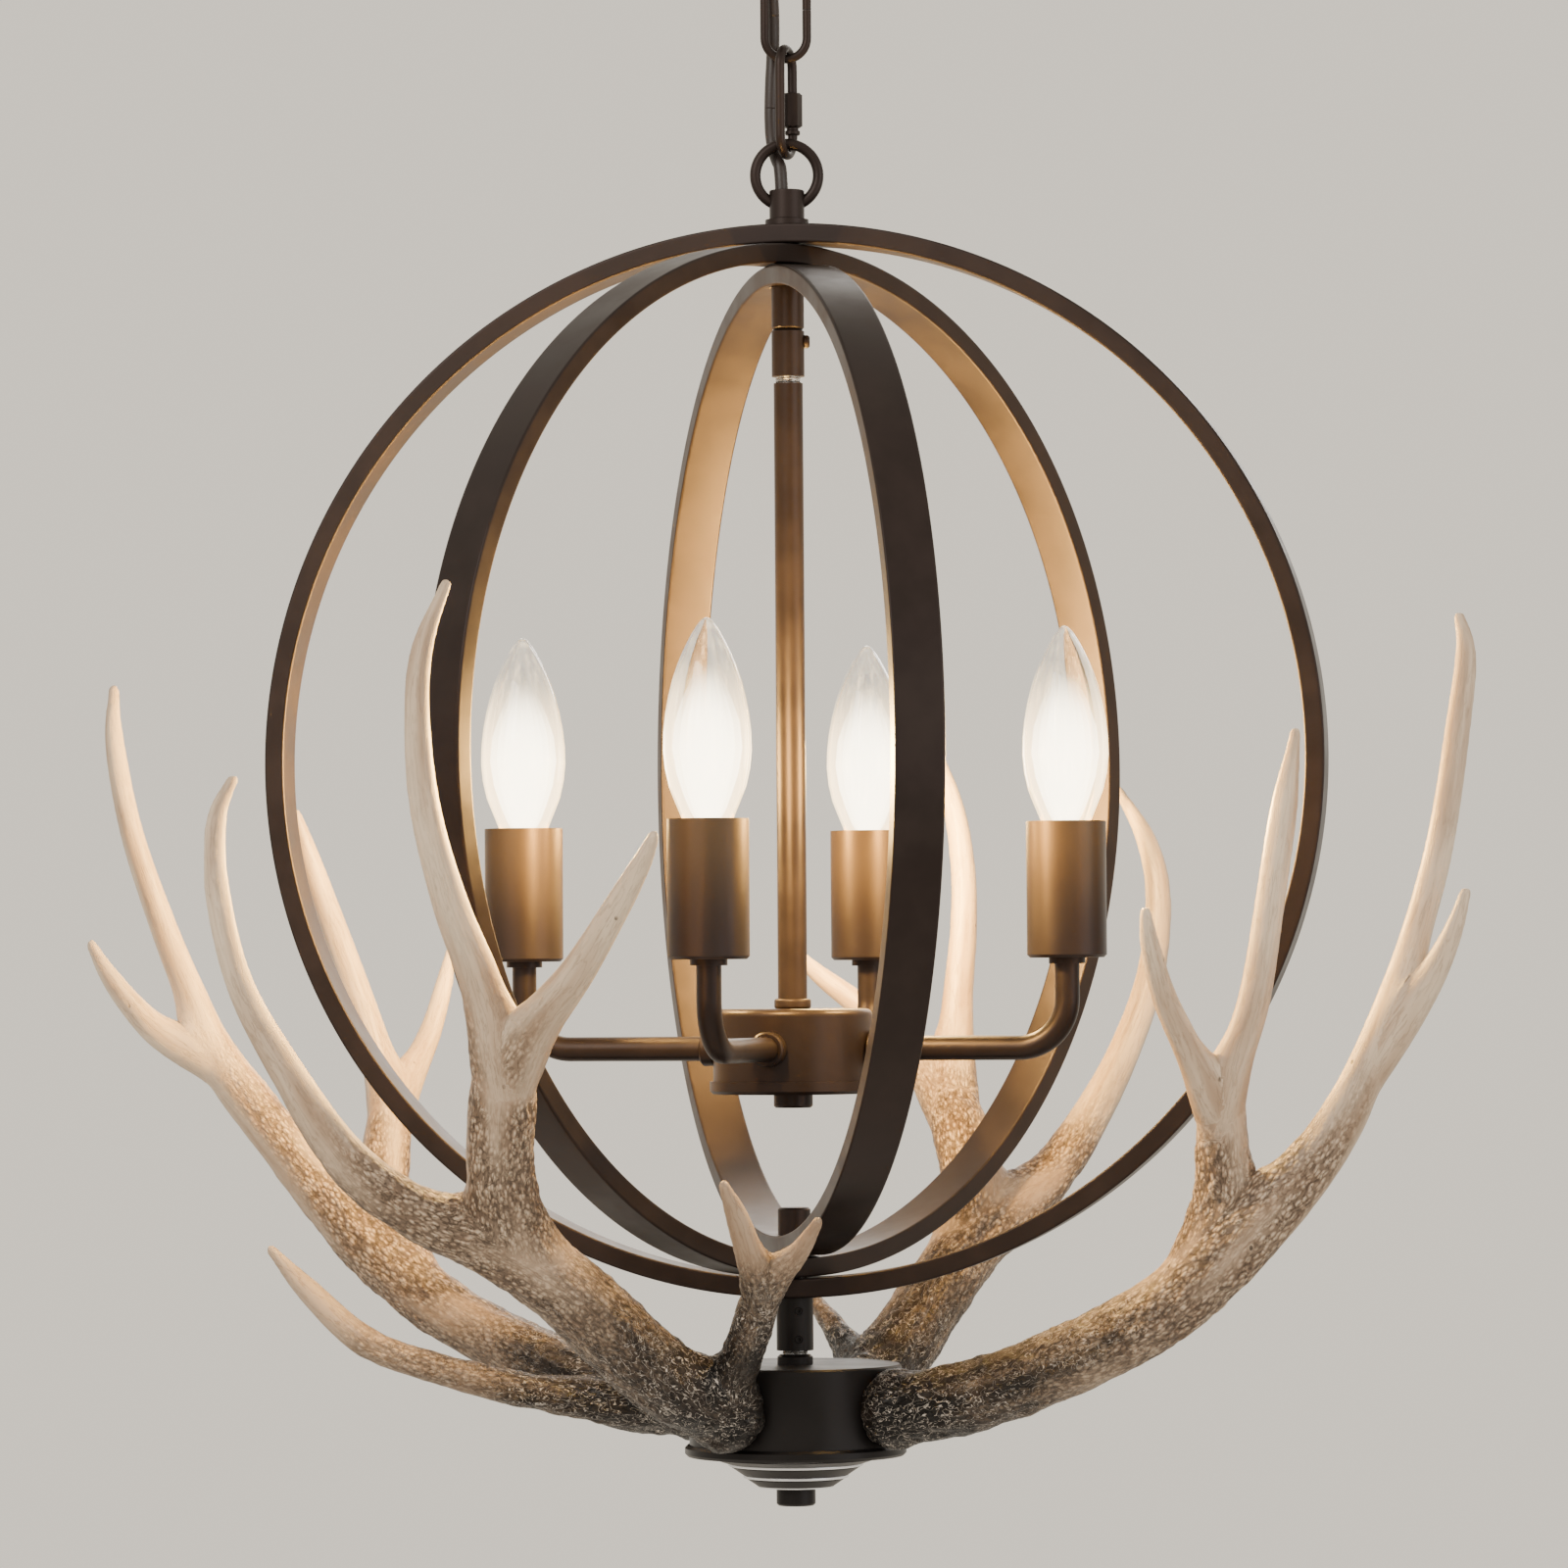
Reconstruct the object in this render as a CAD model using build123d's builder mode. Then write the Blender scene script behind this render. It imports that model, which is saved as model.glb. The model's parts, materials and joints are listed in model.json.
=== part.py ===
from build123d import *
from math import cos, pi, radians, sin, sqrt, tan
import os

# An orb chandelier with four antlers: three nested flat rings round a stem with four candle arms,
# and a canister under the rings that carries the antlers. It hangs on a chain from a ceiling cover.
# Millimetres. The origin is the middle of the ceiling face, +Z up, -Y towards the viewer, +X right.

os.makedirs("parts", exist_ok=True)

# ---------------------------------------------------------------- driving dimensions
link_gap = 0.3  # between two wires that hang on each other
thread_fit = 0.05  # radial, between a threaded tube and what screws on it
slip_fit = 0.3  # radial, round a piece that is pushed in loosely

# Ceiling cover and its bracket
canopy_radius = 62.0
canopy_depth = 24.0
canopy_wall = 1.2
canopy_bevel = 7.0
crossbar_length = 108.0
crossbar_width = 16.0
crossbar_thickness = 2.5
slot_spacing = 88.9
slot_length = 12.0
slot_width = 5.0
canopy_collar_radius = 12.0
canopy_collar_thickness = 5.0

# Threaded tube, 10 mm, and the hexagon nut that fits it
nipple_radius = 5.0
nipple_bore = 3.4
hex_nut_flats = 14.0
hex_nut_thickness = 4.0

# Loops, chain and quick link
wire_sides = 12
loop_radius = 12.95  # centreline of the ring
loop_wire = 4.5
loop_stub_radius = 7.25
loop_stub_start = 6.3  # from the ring's centre
loop_stub_end = 18.5
chain_length = 44.0
chain_width = 21.0
chain_wire = 3.6
quick_link_length = 47.7
quick_link_width = 19.0
quick_link_wire = 4.0
quick_link_turn = -20.0  # degrees about the plumb line, from square to the chain link above
quick_nut_flats = 7.0
quick_nut_length = 17.4
quick_nut_seat = 9.0  # from the middle of the lower bend up to the nut
quick_gap_start = 9.7
quick_gap_length = 7.6

# Supply cord. Its lower way starts in the stem and counts its heights up from the fixture's
# loop; its upper way ends in the cover's collar and counts them down from the cover's loop.
cord_radius = 2.7
cord_tail = 8.0  # length inside the hub
cord_lower_way = (
    (0, 0, -1.5),
    (-6.0, 8.0, 11.2),
    (-6.6, 6.8, 31),
    (-4.8, 6.8, 59),
    (-6.0, 6.3, 87),
)
cord_upper_way = (
    (6.0, -6.2, -48),
    (7.2, -6.8, -30),
    (8.0, -6.0, -11.2),
    (0, 0, 1.5),
    (0, 0, 17.5),
)

# Rings: flat bar, each nested in the one outside it
ring_outer_radius = 220.0
ring_width = 20.0
ring_thickness = 8.0
ring_gap = 0.6
ring_edge = 0.6
ring_turns = {"outer": -10.0, "middle": 50.0, "inner": -76.0}
top_washer_radius = 9.0
top_washer_thickness = 2.3

# Upper pole, under the rings
coupler_radius = 6.7
coupler_length = 17.4
collar_radius = 6.75
collar_length = 19.4
collar_edge = 0.8
lock_screw_drop = 5.0  # from the collar's top to the screw's axis
lock_screw_head_radius = 2.75
lock_screw_head_height = 2.2
lock_screw_shank_radius = 1.5
nipple_show = 2.8  # bright thread between the collar and the stem
stem_thread = 20.0  # length of threaded tube inside each end of the stem

# Stem, hub and arms
stem_radius = 6.0
nut_to_cap = 40.8  # clear height from the nut on the lower pole up to the hub's cap
neck_radius = 7.55
neck_thickness = 4.1
hub_radius = 32.7
hub_height = 29.6
hub_wall = 1.5
hub_edge_round = 3.0
hub_cover_radius = 34.15
hub_cover_thickness = 5.2
hub_cap_radius = 8.0
hub_cap_height = 5.7
arm_radius = 5.0
arm_bore = 3.5
arm_drop = 16.3  # from the hub's top to the arm's axis
arm_reach = 116.0
arm_bend = 20.0
arm_rise = 44.4  # from the arm's axis up to the tube's end
arm_inset = 7.0  # length inside the hub
arm_turns = {
    "front_right": -16.5,
    "back_right": 73.5,
    "back_left": 163.5,
    "front_left": -106.5,
}
boss_radius = 7.15
boss_length = 6.0

# Candle sleeve, lampholder and lamp
sleeve_radius = 16.2
sleeve_height = 55.2
sleeve_wall = 1.2
sleeve_foot = 1.5
sleeve_bevel = 1.2
socket_washer_radius = 7.4
socket_washer_thickness = 2.4
arm_thread = 8.0  # length of the arm's end above the washer
holder_radius = 13.2
holder_height = 44.0
holder_well = 25.5
lamp_cap_radius = 7.0
lamp_cap_length = 25.0
lamp_contact_radius = 2.3
lamp_insulator_radius = 3.7
lamp_glass_wall = 0.8
lamp_neck_radius = 9.65
lamp_flame = ((14.4, 12.5), (17.1, 26.0), (17.5, 34.0), (16.1, 47.5), (9.8, 62.5))
lamp_tip_rise = 79.3  # this and the flame's heights are from the sleeve's top

# Lower pole, canister and finial
cap_nut_radius = 6.7
cap_nut_length = 11.2
lower_coupler_radius = 7.55
lower_coupler_length = 21.6
lower_nipple_show = 1.7
grub_screw_radius = 1.6
grub_screw_drops = (5.4, 17.0)
grub_screw_turn = -78.0
base_lock_radius = 7.3
base_lock_thickness = 4.0
canister_radius = 43.5
canister_height = 32.6
canister_wall = 1.5
canister_edge = 0.8
base_plate_lip = 1.85  # how far the plate stands out past the canister
base_plate_thickness = 4.6
steps = ((33.9, 27.2, 3.4), (26.4, 20.8, 5.0), (19.8, 14.8, 4.6))  # radius, foot radius, height
step_rim = 1.2  # straight part of each step's side, above its slope down to the foot
knob_radius = 8.0
knob_height = 7.4
blind_thread = 0.6  # share of a closed nut's or knob's height that the threaded tube takes

# Antlers: where each one meets the canister, and the screw that holds it
antler_turns = {
    "front_right": -36.0,
    "front_left": -125.0,
    "back_left": 143.0,
    "back_right": 58.0,
}
antler_drop = 16.4  # from the canister's top to the antler's axis
antler_plate_gap = 0.3
antler_sides = 12
antler_ring_radius = 220.0  # the ring that the branches below were shaped round
burr_profile = ((-9, 13.0), (-3, 15.8), (3, 17.6), (8, 17.0), (13, 14.2))
antler_screw_radius = 2.4
antler_screw_length = 16.0
antler_screw_head_radius = 4.5
antler_screw_head_height = 2.8

# Each antler is a set of tapered branches. A branch is a row of sections (x, y, z, radius) from
# where it grows to its tip, with z counted from the antler's axis at the canister. The places
# spread out with the rings, and the radii stay.
antlers = {
    "front_right": (
        ((36, -26, 0, 13), (57, -42, 3, 15), (98, -75, 17, 14.5), (140, -104, 40, 14.5),
         (173, -124, 70, 14), (209, -134, 111, 10.5), (233, -135, 164, 7), (251, -131, 218, 5.6),
         (261, -127, 274, 5), (264, -126, 300, 4), (261, -126, 316, 1.4)),
        ((219, -134, 128, 7.5), (236, -140, 153, 6.5), (248, -145, 173, 5), (256, -149, 192, 3.6),
         (261, -150, 208, 1.4)),
        ((153, -111, 50, 12.5), (165, -121, 82, 11.5), (167, -130, 108, 10.5),
         (165, -136, 130, 9.5)),
        ((166, -133, 116, 9), (154, -147, 143, 6.2), (143, -159, 166, 5), (137, -168, 187, 3.8),
         (135, -171, 201, 1.4)),
        ((165, -134, 116, 9), (172, -140, 143, 7.5), (179, -143, 166, 6.8), (186, -141, 206, 6),
         (192, -137, 242, 5), (197, -132, 271, 1.4)),
    ),
    "front_left": (
        ((-21, -31, 0, 13), (-37, -50, 5, 15), (-60, -73, 22, 16), (-93, -104, 55, 15.5),
         (-121, -122, 73, 13.5), (-145, -133, 83, 11), (-172, -143, 104, 9.8),
         (-196, -148, 140, 7.3), (-214, -148, 174, 5.5), (-223, -145, 212, 4.8),
         (-223, -142, 238, 3.8), (-216, -140, 255, 1.4)),
        ((-84, -95, 45, 14), (-106, -117, 72, 14), (-114, -137, 97, 13.5),
         (-113, -152, 124, 13.5), (-111, -160, 145, 12)),
        ((-112, -158, 134, 11.5), (-119, -171, 171, 9), (-130, -182, 202, 7.5),
         (-139, -190, 238, 6.2), (-142, -195, 272, 5), (-140, -197, 300, 4.3), (-130, -196, 327, 1.4)),
        ((-109, -158, 135, 10.5), (-97, -176, 158, 9.5), (-82, -193, 177, 7.6),
         (-66, -209, 202, 5.5), (-56, -219, 219, 3.6), (-51, -224, 230, 1.4)),
        ((-31, -41, 1, 10), (-24, -58, 16, 9.4), (-16, -84, 41, 8.6), (-13, -98, 54, 7)),
        ((-13, -93, 46, 7), (-18, -117, 66, 5.8), (-23, -137, 83, 4.4), (-28, -151, 96, 1.4)),
        ((-13, -93, 46, 6.8), (-6, -108, 58, 5.4), (2, -123, 68, 4.2), (10, -140, 81, 1.4)),
    ),
    "back_left": (
        ((-30, 23, 0, 13), (-62, 47, 0, 14.5), (-92, 66, 8, 13.6), (-142, 93, 31, 13.2),
         (-180, 108, 60, 12.8), (-215, 121, 100, 11.5), (-246, 130, 140, 9.8),
         (-258, 131, 167, 7.5), (-271, 129, 200, 6), (-284, 127, 240, 5.1), (-291, 126, 278, 4.2),
         (-291, 126, 303, 1.4)),
        ((-240, 129, 134, 8.5), (-269, 128, 150, 7), (-284, 126, 165, 5.5), (-295, 125, 180, 3.8),
         (-302, 124, 193, 1.4)),
        ((-50, 35, -2, 10.5), (-87, 40, 0, 9), (-120, 44, 5, 7.8), (-157, 56, 14, 7),
         (-182, 64, 24, 6.6), (-206, 72, 46, 4.8), (-222, 78, 63, 1.4)),
        ((-158, 102, 42, 12), (-175, 124, 74, 12), (-176, 141, 101, 11), (-174, 152, 122, 9.8)),
        ((-175, 148, 113, 9.5), (-180, 158, 140, 8), (-190, 167, 171, 6.6), (-205, 172, 212, 5.4),
         (-213, 172, 236, 4), (-217, 172, 250, 1.4)),
        ((-174, 148, 113, 8.8), (-165, 169, 136, 6.6), (-158, 182, 154, 5), (-153, 194, 174, 3.7),
         (-150, 202, 190, 1.4)),
    ),
    "back_right": (
        ((20, 33, 0, 13), (36, 56, 7, 15), (57, 89, 36, 15), (75, 116, 60, 15),
         (93, 134, 74, 13.3), (112, 150, 89, 10.8), (128, 162, 111, 9.3), (145, 173, 142, 7.6),
         (157, 180, 174, 6.6), (161, 184, 208, 5.8), (156, 186, 234, 4.4), (143, 188, 258, 1.4)),
        ((66, 102, 47, 13), (76, 128, 79, 13.5), (74, 147, 103, 13), (69, 161, 122, 11.5)),
        ((70, 158, 114, 11), (71, 174, 142, 9.2), (73, 187, 167, 7.3), (76, 197, 196, 6.4),
         (76, 204, 224, 5.7), (71, 209, 254, 4.4), (58, 213, 290, 1.4)),
        ((68, 157, 113, 10), (58, 175, 133, 8.8), (45, 189, 148, 7.2), (30, 202, 162, 5.8),
         (12, 213, 176, 4.2), (-4, 222, 191, 1.4)),
        ((29, 44, 0, 9.5), (24, 66, 14, 7.2), (18, 86, 25, 5.6), (10, 104, 35, 3.8),
         (-1, 120, 46, 1.4)),
    ),
}

# ---------------------------------------------------------------- heights, worked down from the ceiling
canopy_bottom = -canopy_depth
canopy_collar_bottom = canopy_bottom - canopy_collar_thickness
canopy_loop_z = canopy_collar_bottom - loop_stub_end


def hung_on(upper_wire_z, upper_wire, lower_wire):
    """Height of the top wire's centre of a piece that hangs on the wire above it."""
    return upper_wire_z + upper_wire / 2 + lower_wire / 2 + link_gap


chain_top_z = hung_on(canopy_loop_z - loop_radius, loop_wire, chain_wire)
chain_pitch = chain_length - chain_wire
chain_middle_z = hung_on(chain_top_z - chain_pitch, chain_wire, chain_wire)
chain_bottom_z = hung_on(chain_middle_z - chain_pitch, chain_wire, chain_wire)
quick_link_z = hung_on(chain_bottom_z - chain_pitch, chain_wire, quick_link_wire)
quick_link_low_z = quick_link_z - (quick_link_length - quick_link_wire)
top_loop_z = hung_on(quick_link_low_z, quick_link_wire, loop_wire) - loop_radius
top_washer_z = top_loop_z - loop_stub_end
crown_z = top_washer_z - top_washer_thickness
orb_z = crown_z - ring_outer_radius

ring_radii = {}
next_radius = ring_outer_radius
for ring_name in ring_turns:
    ring_radii[ring_name] = next_radius
    next_radius -= ring_thickness + ring_gap
inside_radius = ring_radii["inner"] - ring_thickness
inside_height = 2 * (inside_radius - link_gap)
upper_stack = coupler_length + collar_length + nipple_show
hub_stack = neck_thickness + hub_height + hub_cover_thickness + hub_cap_height
stem_length = inside_height - upper_stack - hub_stack - nut_to_cap - cap_nut_length

coupler_top = orb_z + inside_radius - link_gap
collar_top = coupler_top - coupler_length
collar_bottom = collar_top - collar_length
stem_top = collar_bottom - nipple_show
stem_bottom = stem_top - stem_length
hub_top = stem_bottom - neck_thickness
hub_bottom = hub_top - hub_height
hub_cover_bottom = hub_bottom - hub_cover_thickness
hub_cap_bottom = hub_cover_bottom - hub_cap_height
arm_z = hub_top - arm_drop
socket_washer_z = arm_z + arm_rise - arm_thread - socket_washer_thickness
sleeve_bottom = socket_washer_z + socket_washer_thickness
sleeve_top = sleeve_bottom + sleeve_height
holder_bottom = sleeve_bottom + sleeve_foot
holder_top = holder_bottom + holder_height
lamp_cap_bottom = holder_top - holder_well + link_gap
lamp_cap_top = lamp_cap_bottom + lamp_cap_length

cap_nut_bottom = orb_z - inside_radius + link_gap
pole_z = orb_z - ring_outer_radius
lower_coupler_bottom = pole_z - lower_coupler_length
base_lock_top = lower_coupler_bottom - lower_nipple_show
canister_top = base_lock_top - base_lock_thickness
canister_bottom = canister_top - canister_height
base_plate_bottom = canister_bottom - base_plate_thickness
steps_bottom = base_plate_bottom - sum(height for radius, foot, height in steps)
knob_bottom = steps_bottom - knob_height
antler_z = canister_top - antler_drop
antler_spread = ring_outer_radius / antler_ring_radius
base_plate_radius = canister_radius + base_plate_lip


def save(part, name):
    """Label a finished piece and write it."""
    part.label = name
    export_step(part, f"parts/{name}.step")


def round_bar(radius, bottom, top, bore=0.0):
    """A cylinder on the plumb line, with a bore if one is given."""
    with BuildPart() as piece:
        with BuildSketch(Plane.XY.offset(bottom)):
            Circle(radius)
            if bore:
                Circle(bore, mode=Mode.SUBTRACT)
        extrude(amount=top - bottom)
    return piece.part


def polar(radius, turn, z):
    """The point at a radius and a turn in degrees about the plumb line."""
    return Vector(radius * cos(radians(turn)), radius * sin(radians(turn)), z)


def outward(turn, radius, z):
    """A plane square to the radius at this turn, with its normal pointing outwards."""
    return Plane(origin=polar(radius, turn, z), x_dir=(0, 0, 1), z_dir=polar(1, turn, 0))


# ---------------------------------------------------------------- ceiling cover
with BuildPart() as canopy:
    with BuildSketch(Plane.XY.offset(canopy_bottom)):
        Circle(canopy_radius)
    extrude(amount=canopy_depth)
    chamfer(canopy.edges().group_by(Axis.Z)[0], length=canopy_bevel)
    offset(amount=-canopy_wall, openings=canopy.faces().sort_by(Axis.Z)[-1])
    Hole(nipple_radius + slip_fit)
save(canopy.part, "canopy")

with BuildPart() as crossbar:
    with BuildSketch(Plane.XY.offset(-crossbar_thickness)):
        SlotOverall(crossbar_length, crossbar_width)
        Circle(nipple_radius + thread_fit, mode=Mode.SUBTRACT)
        with GridLocations(slot_spacing, 0, 2, 1):
            SlotOverall(slot_length, slot_width, mode=Mode.SUBTRACT)
    extrude(amount=crossbar_thickness)
save(crossbar.part, "crossbar")

canopy_nipple_bottom = canopy_collar_bottom - (loop_stub_end - loop_stub_start) / 2
save(round_bar(nipple_radius, canopy_nipple_bottom, 0.0, nipple_bore), "canopy_nipple")

with BuildPart() as crossbar_nut:
    with BuildSketch(Plane.XY.offset(-crossbar_thickness - hex_nut_thickness)):
        RegularPolygon(hex_nut_flats / 2, 6, major_radius=False)
        Circle(nipple_radius + thread_fit, mode=Mode.SUBTRACT)
    extrude(amount=hex_nut_thickness)
save(crossbar_nut.part, "crossbar_nut")

with BuildPart() as canopy_collar:
    add(round_bar(canopy_collar_radius, canopy_collar_bottom, canopy_bottom, nipple_radius + thread_fit))
    chamfer(canopy_collar.edges().group_by(Axis.Z)[0], length=collar_edge)
save(canopy_collar.part, "canopy_collar")


# ---------------------------------------------------------------- loops, chain and quick link
def screw_loop(centre_z, up, plane):
    """A ring with a threaded stub; up is +1 if the stub is above the ring, -1 if below."""
    stub_near = centre_z + up * loop_stub_start
    stub_far = centre_z + up * loop_stub_end
    thread_end = (stub_near + stub_far) / 2
    with BuildPart() as piece:
        with BuildSketch(Plane(origin=(0, 0, centre_z), x_dir=(0, 0, 1), z_dir=plane.x_dir)):
            with Locations((loop_radius, 0)):
                RegularPolygon(loop_wire / 2, wire_sides)
        revolve(axis=Axis((0, 0, centre_z), plane.z_dir))
        with BuildSketch(Plane.XY.offset(min(stub_near, stub_far))):
            Circle(loop_stub_radius)
        extrude(amount=abs(stub_far - stub_near))
        chamfer(piece.faces().filter_by(Plane.XY).edges(), length=collar_edge)
        with BuildSketch(Plane.XY.offset(min(stub_near, stub_far))):
            Circle(cord_radius + slip_fit)
        extrude(amount=abs(stub_far - stub_near), mode=Mode.SUBTRACT)
        with BuildSketch(Plane.XY.offset(min(thread_end, stub_far))):
            Circle(nipple_radius + thread_fit)
        extrude(amount=abs(stub_far - thread_end), mode=Mode.SUBTRACT)
    return piece.part


def oval(length, width, wire, upper_wire_z, plane):
    """A closed link of round wire: two straight legs and two half-round ends."""
    bend = (width - wire) / 2
    upper = Vector(0, 0, upper_wire_z - bend)
    lower = Vector(0, 0, upper_wire_z - (length - wire) + bend)
    leg = plane.x_dir * bend
    with BuildPart() as piece:
        with BuildSketch(Plane(origin=lower, x_dir=plane.x_dir, z_dir=(0, 0, 1))):
            with Locations((bend, 0), (-bend, 0)):
                RegularPolygon(wire / 2, wire_sides)
        extrude(amount=upper.Z - lower.Z)
        for centre, turn in ((upper, 180), (lower, -180)):
            with BuildSketch(Plane(origin=centre + leg, x_dir=plane.x_dir, z_dir=(0, 0, 1))):
                RegularPolygon(wire / 2, wire_sides)
            revolve(axis=Axis(centre, plane.x_dir.cross(Vector(0, 0, 1))), revolution_arc=turn)
    return piece.part


save(screw_loop(canopy_loop_z, 1, Plane.YZ), "canopy_loop")
save(oval(chain_length, chain_width, chain_wire, chain_top_z, Plane.XZ), "chain_link_top")
save(oval(chain_length, chain_width, chain_wire, chain_middle_z, Plane.YZ), "chain_link_middle")
save(oval(chain_length, chain_width, chain_wire, chain_bottom_z, Plane.XZ), "chain_link_bottom")

quick_direction = Vector(0, 1, 0).rotate(Axis.Z, quick_link_turn)
quick_plane = Plane(
    origin=(0, 0, 0), x_dir=quick_direction, z_dir=quick_direction.cross(Vector(0, 0, 1))
)
quick_leg = quick_direction * ((quick_link_width - quick_link_wire) / 2)
quick_bend_z = quick_link_low_z + (quick_link_width - quick_link_wire) / 2
quick_gap_z = quick_link_low_z + quick_gap_start
quick_nut_z = quick_link_low_z + quick_nut_seat

with BuildPart() as quick_link:
    add(oval(quick_link_length, quick_link_width, quick_link_wire, quick_link_z, quick_plane))
    with BuildSketch(Plane.XY.offset(quick_gap_z)):
        with Locations((quick_leg.X, quick_leg.Y)):
            Circle(quick_link_wire)
    extrude(amount=quick_gap_length, mode=Mode.SUBTRACT)
save(quick_link.part, "quick_link")

with BuildPart() as quick_link_nut:
    with BuildSketch(Plane.XY.offset(quick_nut_z)):
        with Locations((quick_leg.X, quick_leg.Y)):
            RegularPolygon(quick_nut_flats / 2, 6, major_radius=False)
            Circle(quick_link_wire / 2 + thread_fit, mode=Mode.SUBTRACT)
    extrude(amount=quick_nut_length)
save(quick_link_nut.part, "quick_link_nut")

save(screw_loop(top_loop_z, -1, Plane.XZ), "top_loop")

# ---------------------------------------------------------------- supply cord
# Straight up the stem, round the back of the loop, past the quick link, through the middle
# chain link, in front of the top one and into the loop under the ceiling cover.
cord_points = [Vector(0, 0, hub_top - hub_wall - cord_tail)]
cord_points += [Vector(x, y, top_loop_z + rise) for x, y, rise in cord_lower_way]
cord_points += [Vector(x, y, canopy_loop_z + rise) for x, y, rise in cord_upper_way]


def bend_radii(points):
    """One radius for each corner: 0.45 of the shorter run, over the tangent of half the turn."""
    corners = []
    for before, here, after in zip(points, points[1:], points[2:]):
        run_in = here - before
        run_out = after - here
        half_turn = radians(run_in.get_angle(run_out)) / 2
        shorter = min(run_in.length, run_out.length)
        corners.append(0.45 * shorter / tan(half_turn))
    return corners


cord_radii = bend_radii(cord_points)
print("cord radii", [round(radius, 1) for radius in cord_radii])
with BuildPart() as supply_cord:
    with BuildLine() as cord_path:
        cord_line = FilletPolyline(*cord_points, radius=cord_radii)
    with BuildSketch(Plane(origin=cord_line @ 0, z_dir=cord_line % 0)):
        Circle(cord_radius)
    sweep(path=cord_path.wire())
cord_share = supply_cord.part.volume / (pi * cord_radius**2 * cord_line.length)
print("cord length", round(cord_line.length, 1), "volume over section times length", round(cord_share, 4))
save(supply_cord.part, "supply_cord")

# ---------------------------------------------------------------- rings
for ring_name, turn in ring_turns.items():
    outside = ring_radii[ring_name]
    ring_plane = Plane(origin=(0, 0, orb_z), x_dir=polar(1, turn, 0), z_dir=polar(1, turn + 90, 0))
    with BuildPart() as ring:
        with BuildSketch(ring_plane):
            Circle(outside)
            Circle(outside - ring_thickness, mode=Mode.SUBTRACT)
        extrude(amount=ring_width / 2, both=True)
        chamfer(ring.edges().filter_by(GeomType.CIRCLE), length=ring_edge)
        with Locations((0, 0, orb_z)):
            Cylinder(nipple_radius + thread_fit, 2 * outside + ring_width, mode=Mode.SUBTRACT)
    save(ring.part, f"ring_{ring_name}")

# ---------------------------------------------------------------- upper pole
top_washer = round_bar(top_washer_radius, crown_z, top_washer_z, nipple_radius + thread_fit)
save(top_washer, "top_washer")
top_nipple_top = top_loop_z - (loop_stub_start + loop_stub_end) / 2
top_nipple_bottom = coupler_top - coupler_length / 2
save(round_bar(nipple_radius, top_nipple_bottom, top_nipple_top, nipple_bore), "top_nipple")

with BuildPart() as top_coupler:
    add(round_bar(coupler_radius, collar_top, coupler_top, nipple_radius + thread_fit))
    chamfer(top_coupler.edges().group_by(Axis.Z)[0].sort_by(SortBy.RADIUS)[-1], length=collar_edge)
save(top_coupler.part, "top_coupler")

lock_screw_plane = outward(0, nipple_radius, collar_top - lock_screw_drop)
with BuildPart() as lock_collar:
    add(round_bar(collar_radius, collar_bottom, collar_top, nipple_radius + thread_fit))
    chamfer(lock_collar.edges().group_by(Axis.Z)[-1].sort_by(SortBy.RADIUS)[-1], length=collar_edge)
    with BuildSketch(lock_screw_plane):
        Circle(lock_screw_shank_radius + thread_fit)
    extrude(amount=collar_radius, mode=Mode.SUBTRACT)
save(lock_collar.part, "lock_collar")

with BuildPart() as lock_screw:
    with BuildSketch(lock_screw_plane):
        Circle(lock_screw_shank_radius)
    extrude(amount=collar_radius - nipple_radius)
    with BuildSketch(lock_screw_plane.offset(collar_radius - nipple_radius)):
        Circle(lock_screw_head_radius)
    extrude(amount=lock_screw_head_height)
    chamfer(lock_screw.edges().sort_by(Axis.X)[-1], length=lock_screw_head_height / 3)
save(lock_screw.part, "lock_screw")

# ---------------------------------------------------------------- stem, hub and arms
hub_cap_floor = hub_cap_bottom + hub_cap_height / 2
with BuildPart() as stem_nipples:
    add(round_bar(nipple_radius, stem_top - stem_thread, top_nipple_bottom, nipple_bore))
    add(round_bar(nipple_radius, hub_cap_floor, stem_bottom + stem_thread, nipple_bore))
save(stem_nipples.part, "stem_nipples")

save(round_bar(stem_radius, stem_bottom, stem_top, nipple_radius + thread_fit), "stem")

with BuildPart() as stem_neck_ring:
    add(round_bar(neck_radius, hub_top, stem_bottom, nipple_radius + thread_fit))
    neck_rims = stem_neck_ring.edges().filter_by(GeomType.CIRCLE).group_by(SortBy.RADIUS)[-1]
    chamfer(neck_rims, length=neck_thickness / 4)
save(stem_neck_ring.part, "stem_neck_ring")

with BuildPart() as hub_body:
    with BuildSketch(Plane.XY.offset(hub_bottom)):
        Circle(hub_radius)
    extrude(amount=hub_height)
    fillet(hub_body.edges().group_by(Axis.Z)[-1], radius=hub_edge_round)
    with BuildSketch(Plane.XY.offset(hub_bottom)):
        Circle(hub_radius - hub_wall)
    extrude(amount=hub_height - hub_wall, mode=Mode.SUBTRACT)
    with Locations((0, 0, hub_top)):
        Hole(nipple_radius + thread_fit)
    for turn in arm_turns.values():
        with BuildSketch(outward(turn, hub_radius - arm_inset, arm_z)):
            Circle(arm_radius + thread_fit)
        extrude(amount=2 * arm_inset, mode=Mode.SUBTRACT)
save(hub_body.part, "hub_body")

with BuildPart() as hub_cover:
    add(round_bar(hub_cover_radius, hub_cover_bottom, hub_bottom, nipple_radius + thread_fit))
    cover_rim = hub_cover.edges().group_by(Axis.Z)[0].sort_by(SortBy.RADIUS)[-1]
    chamfer(cover_rim, length=hub_cover_thickness / 4)
save(hub_cover.part, "hub_cover")

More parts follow.
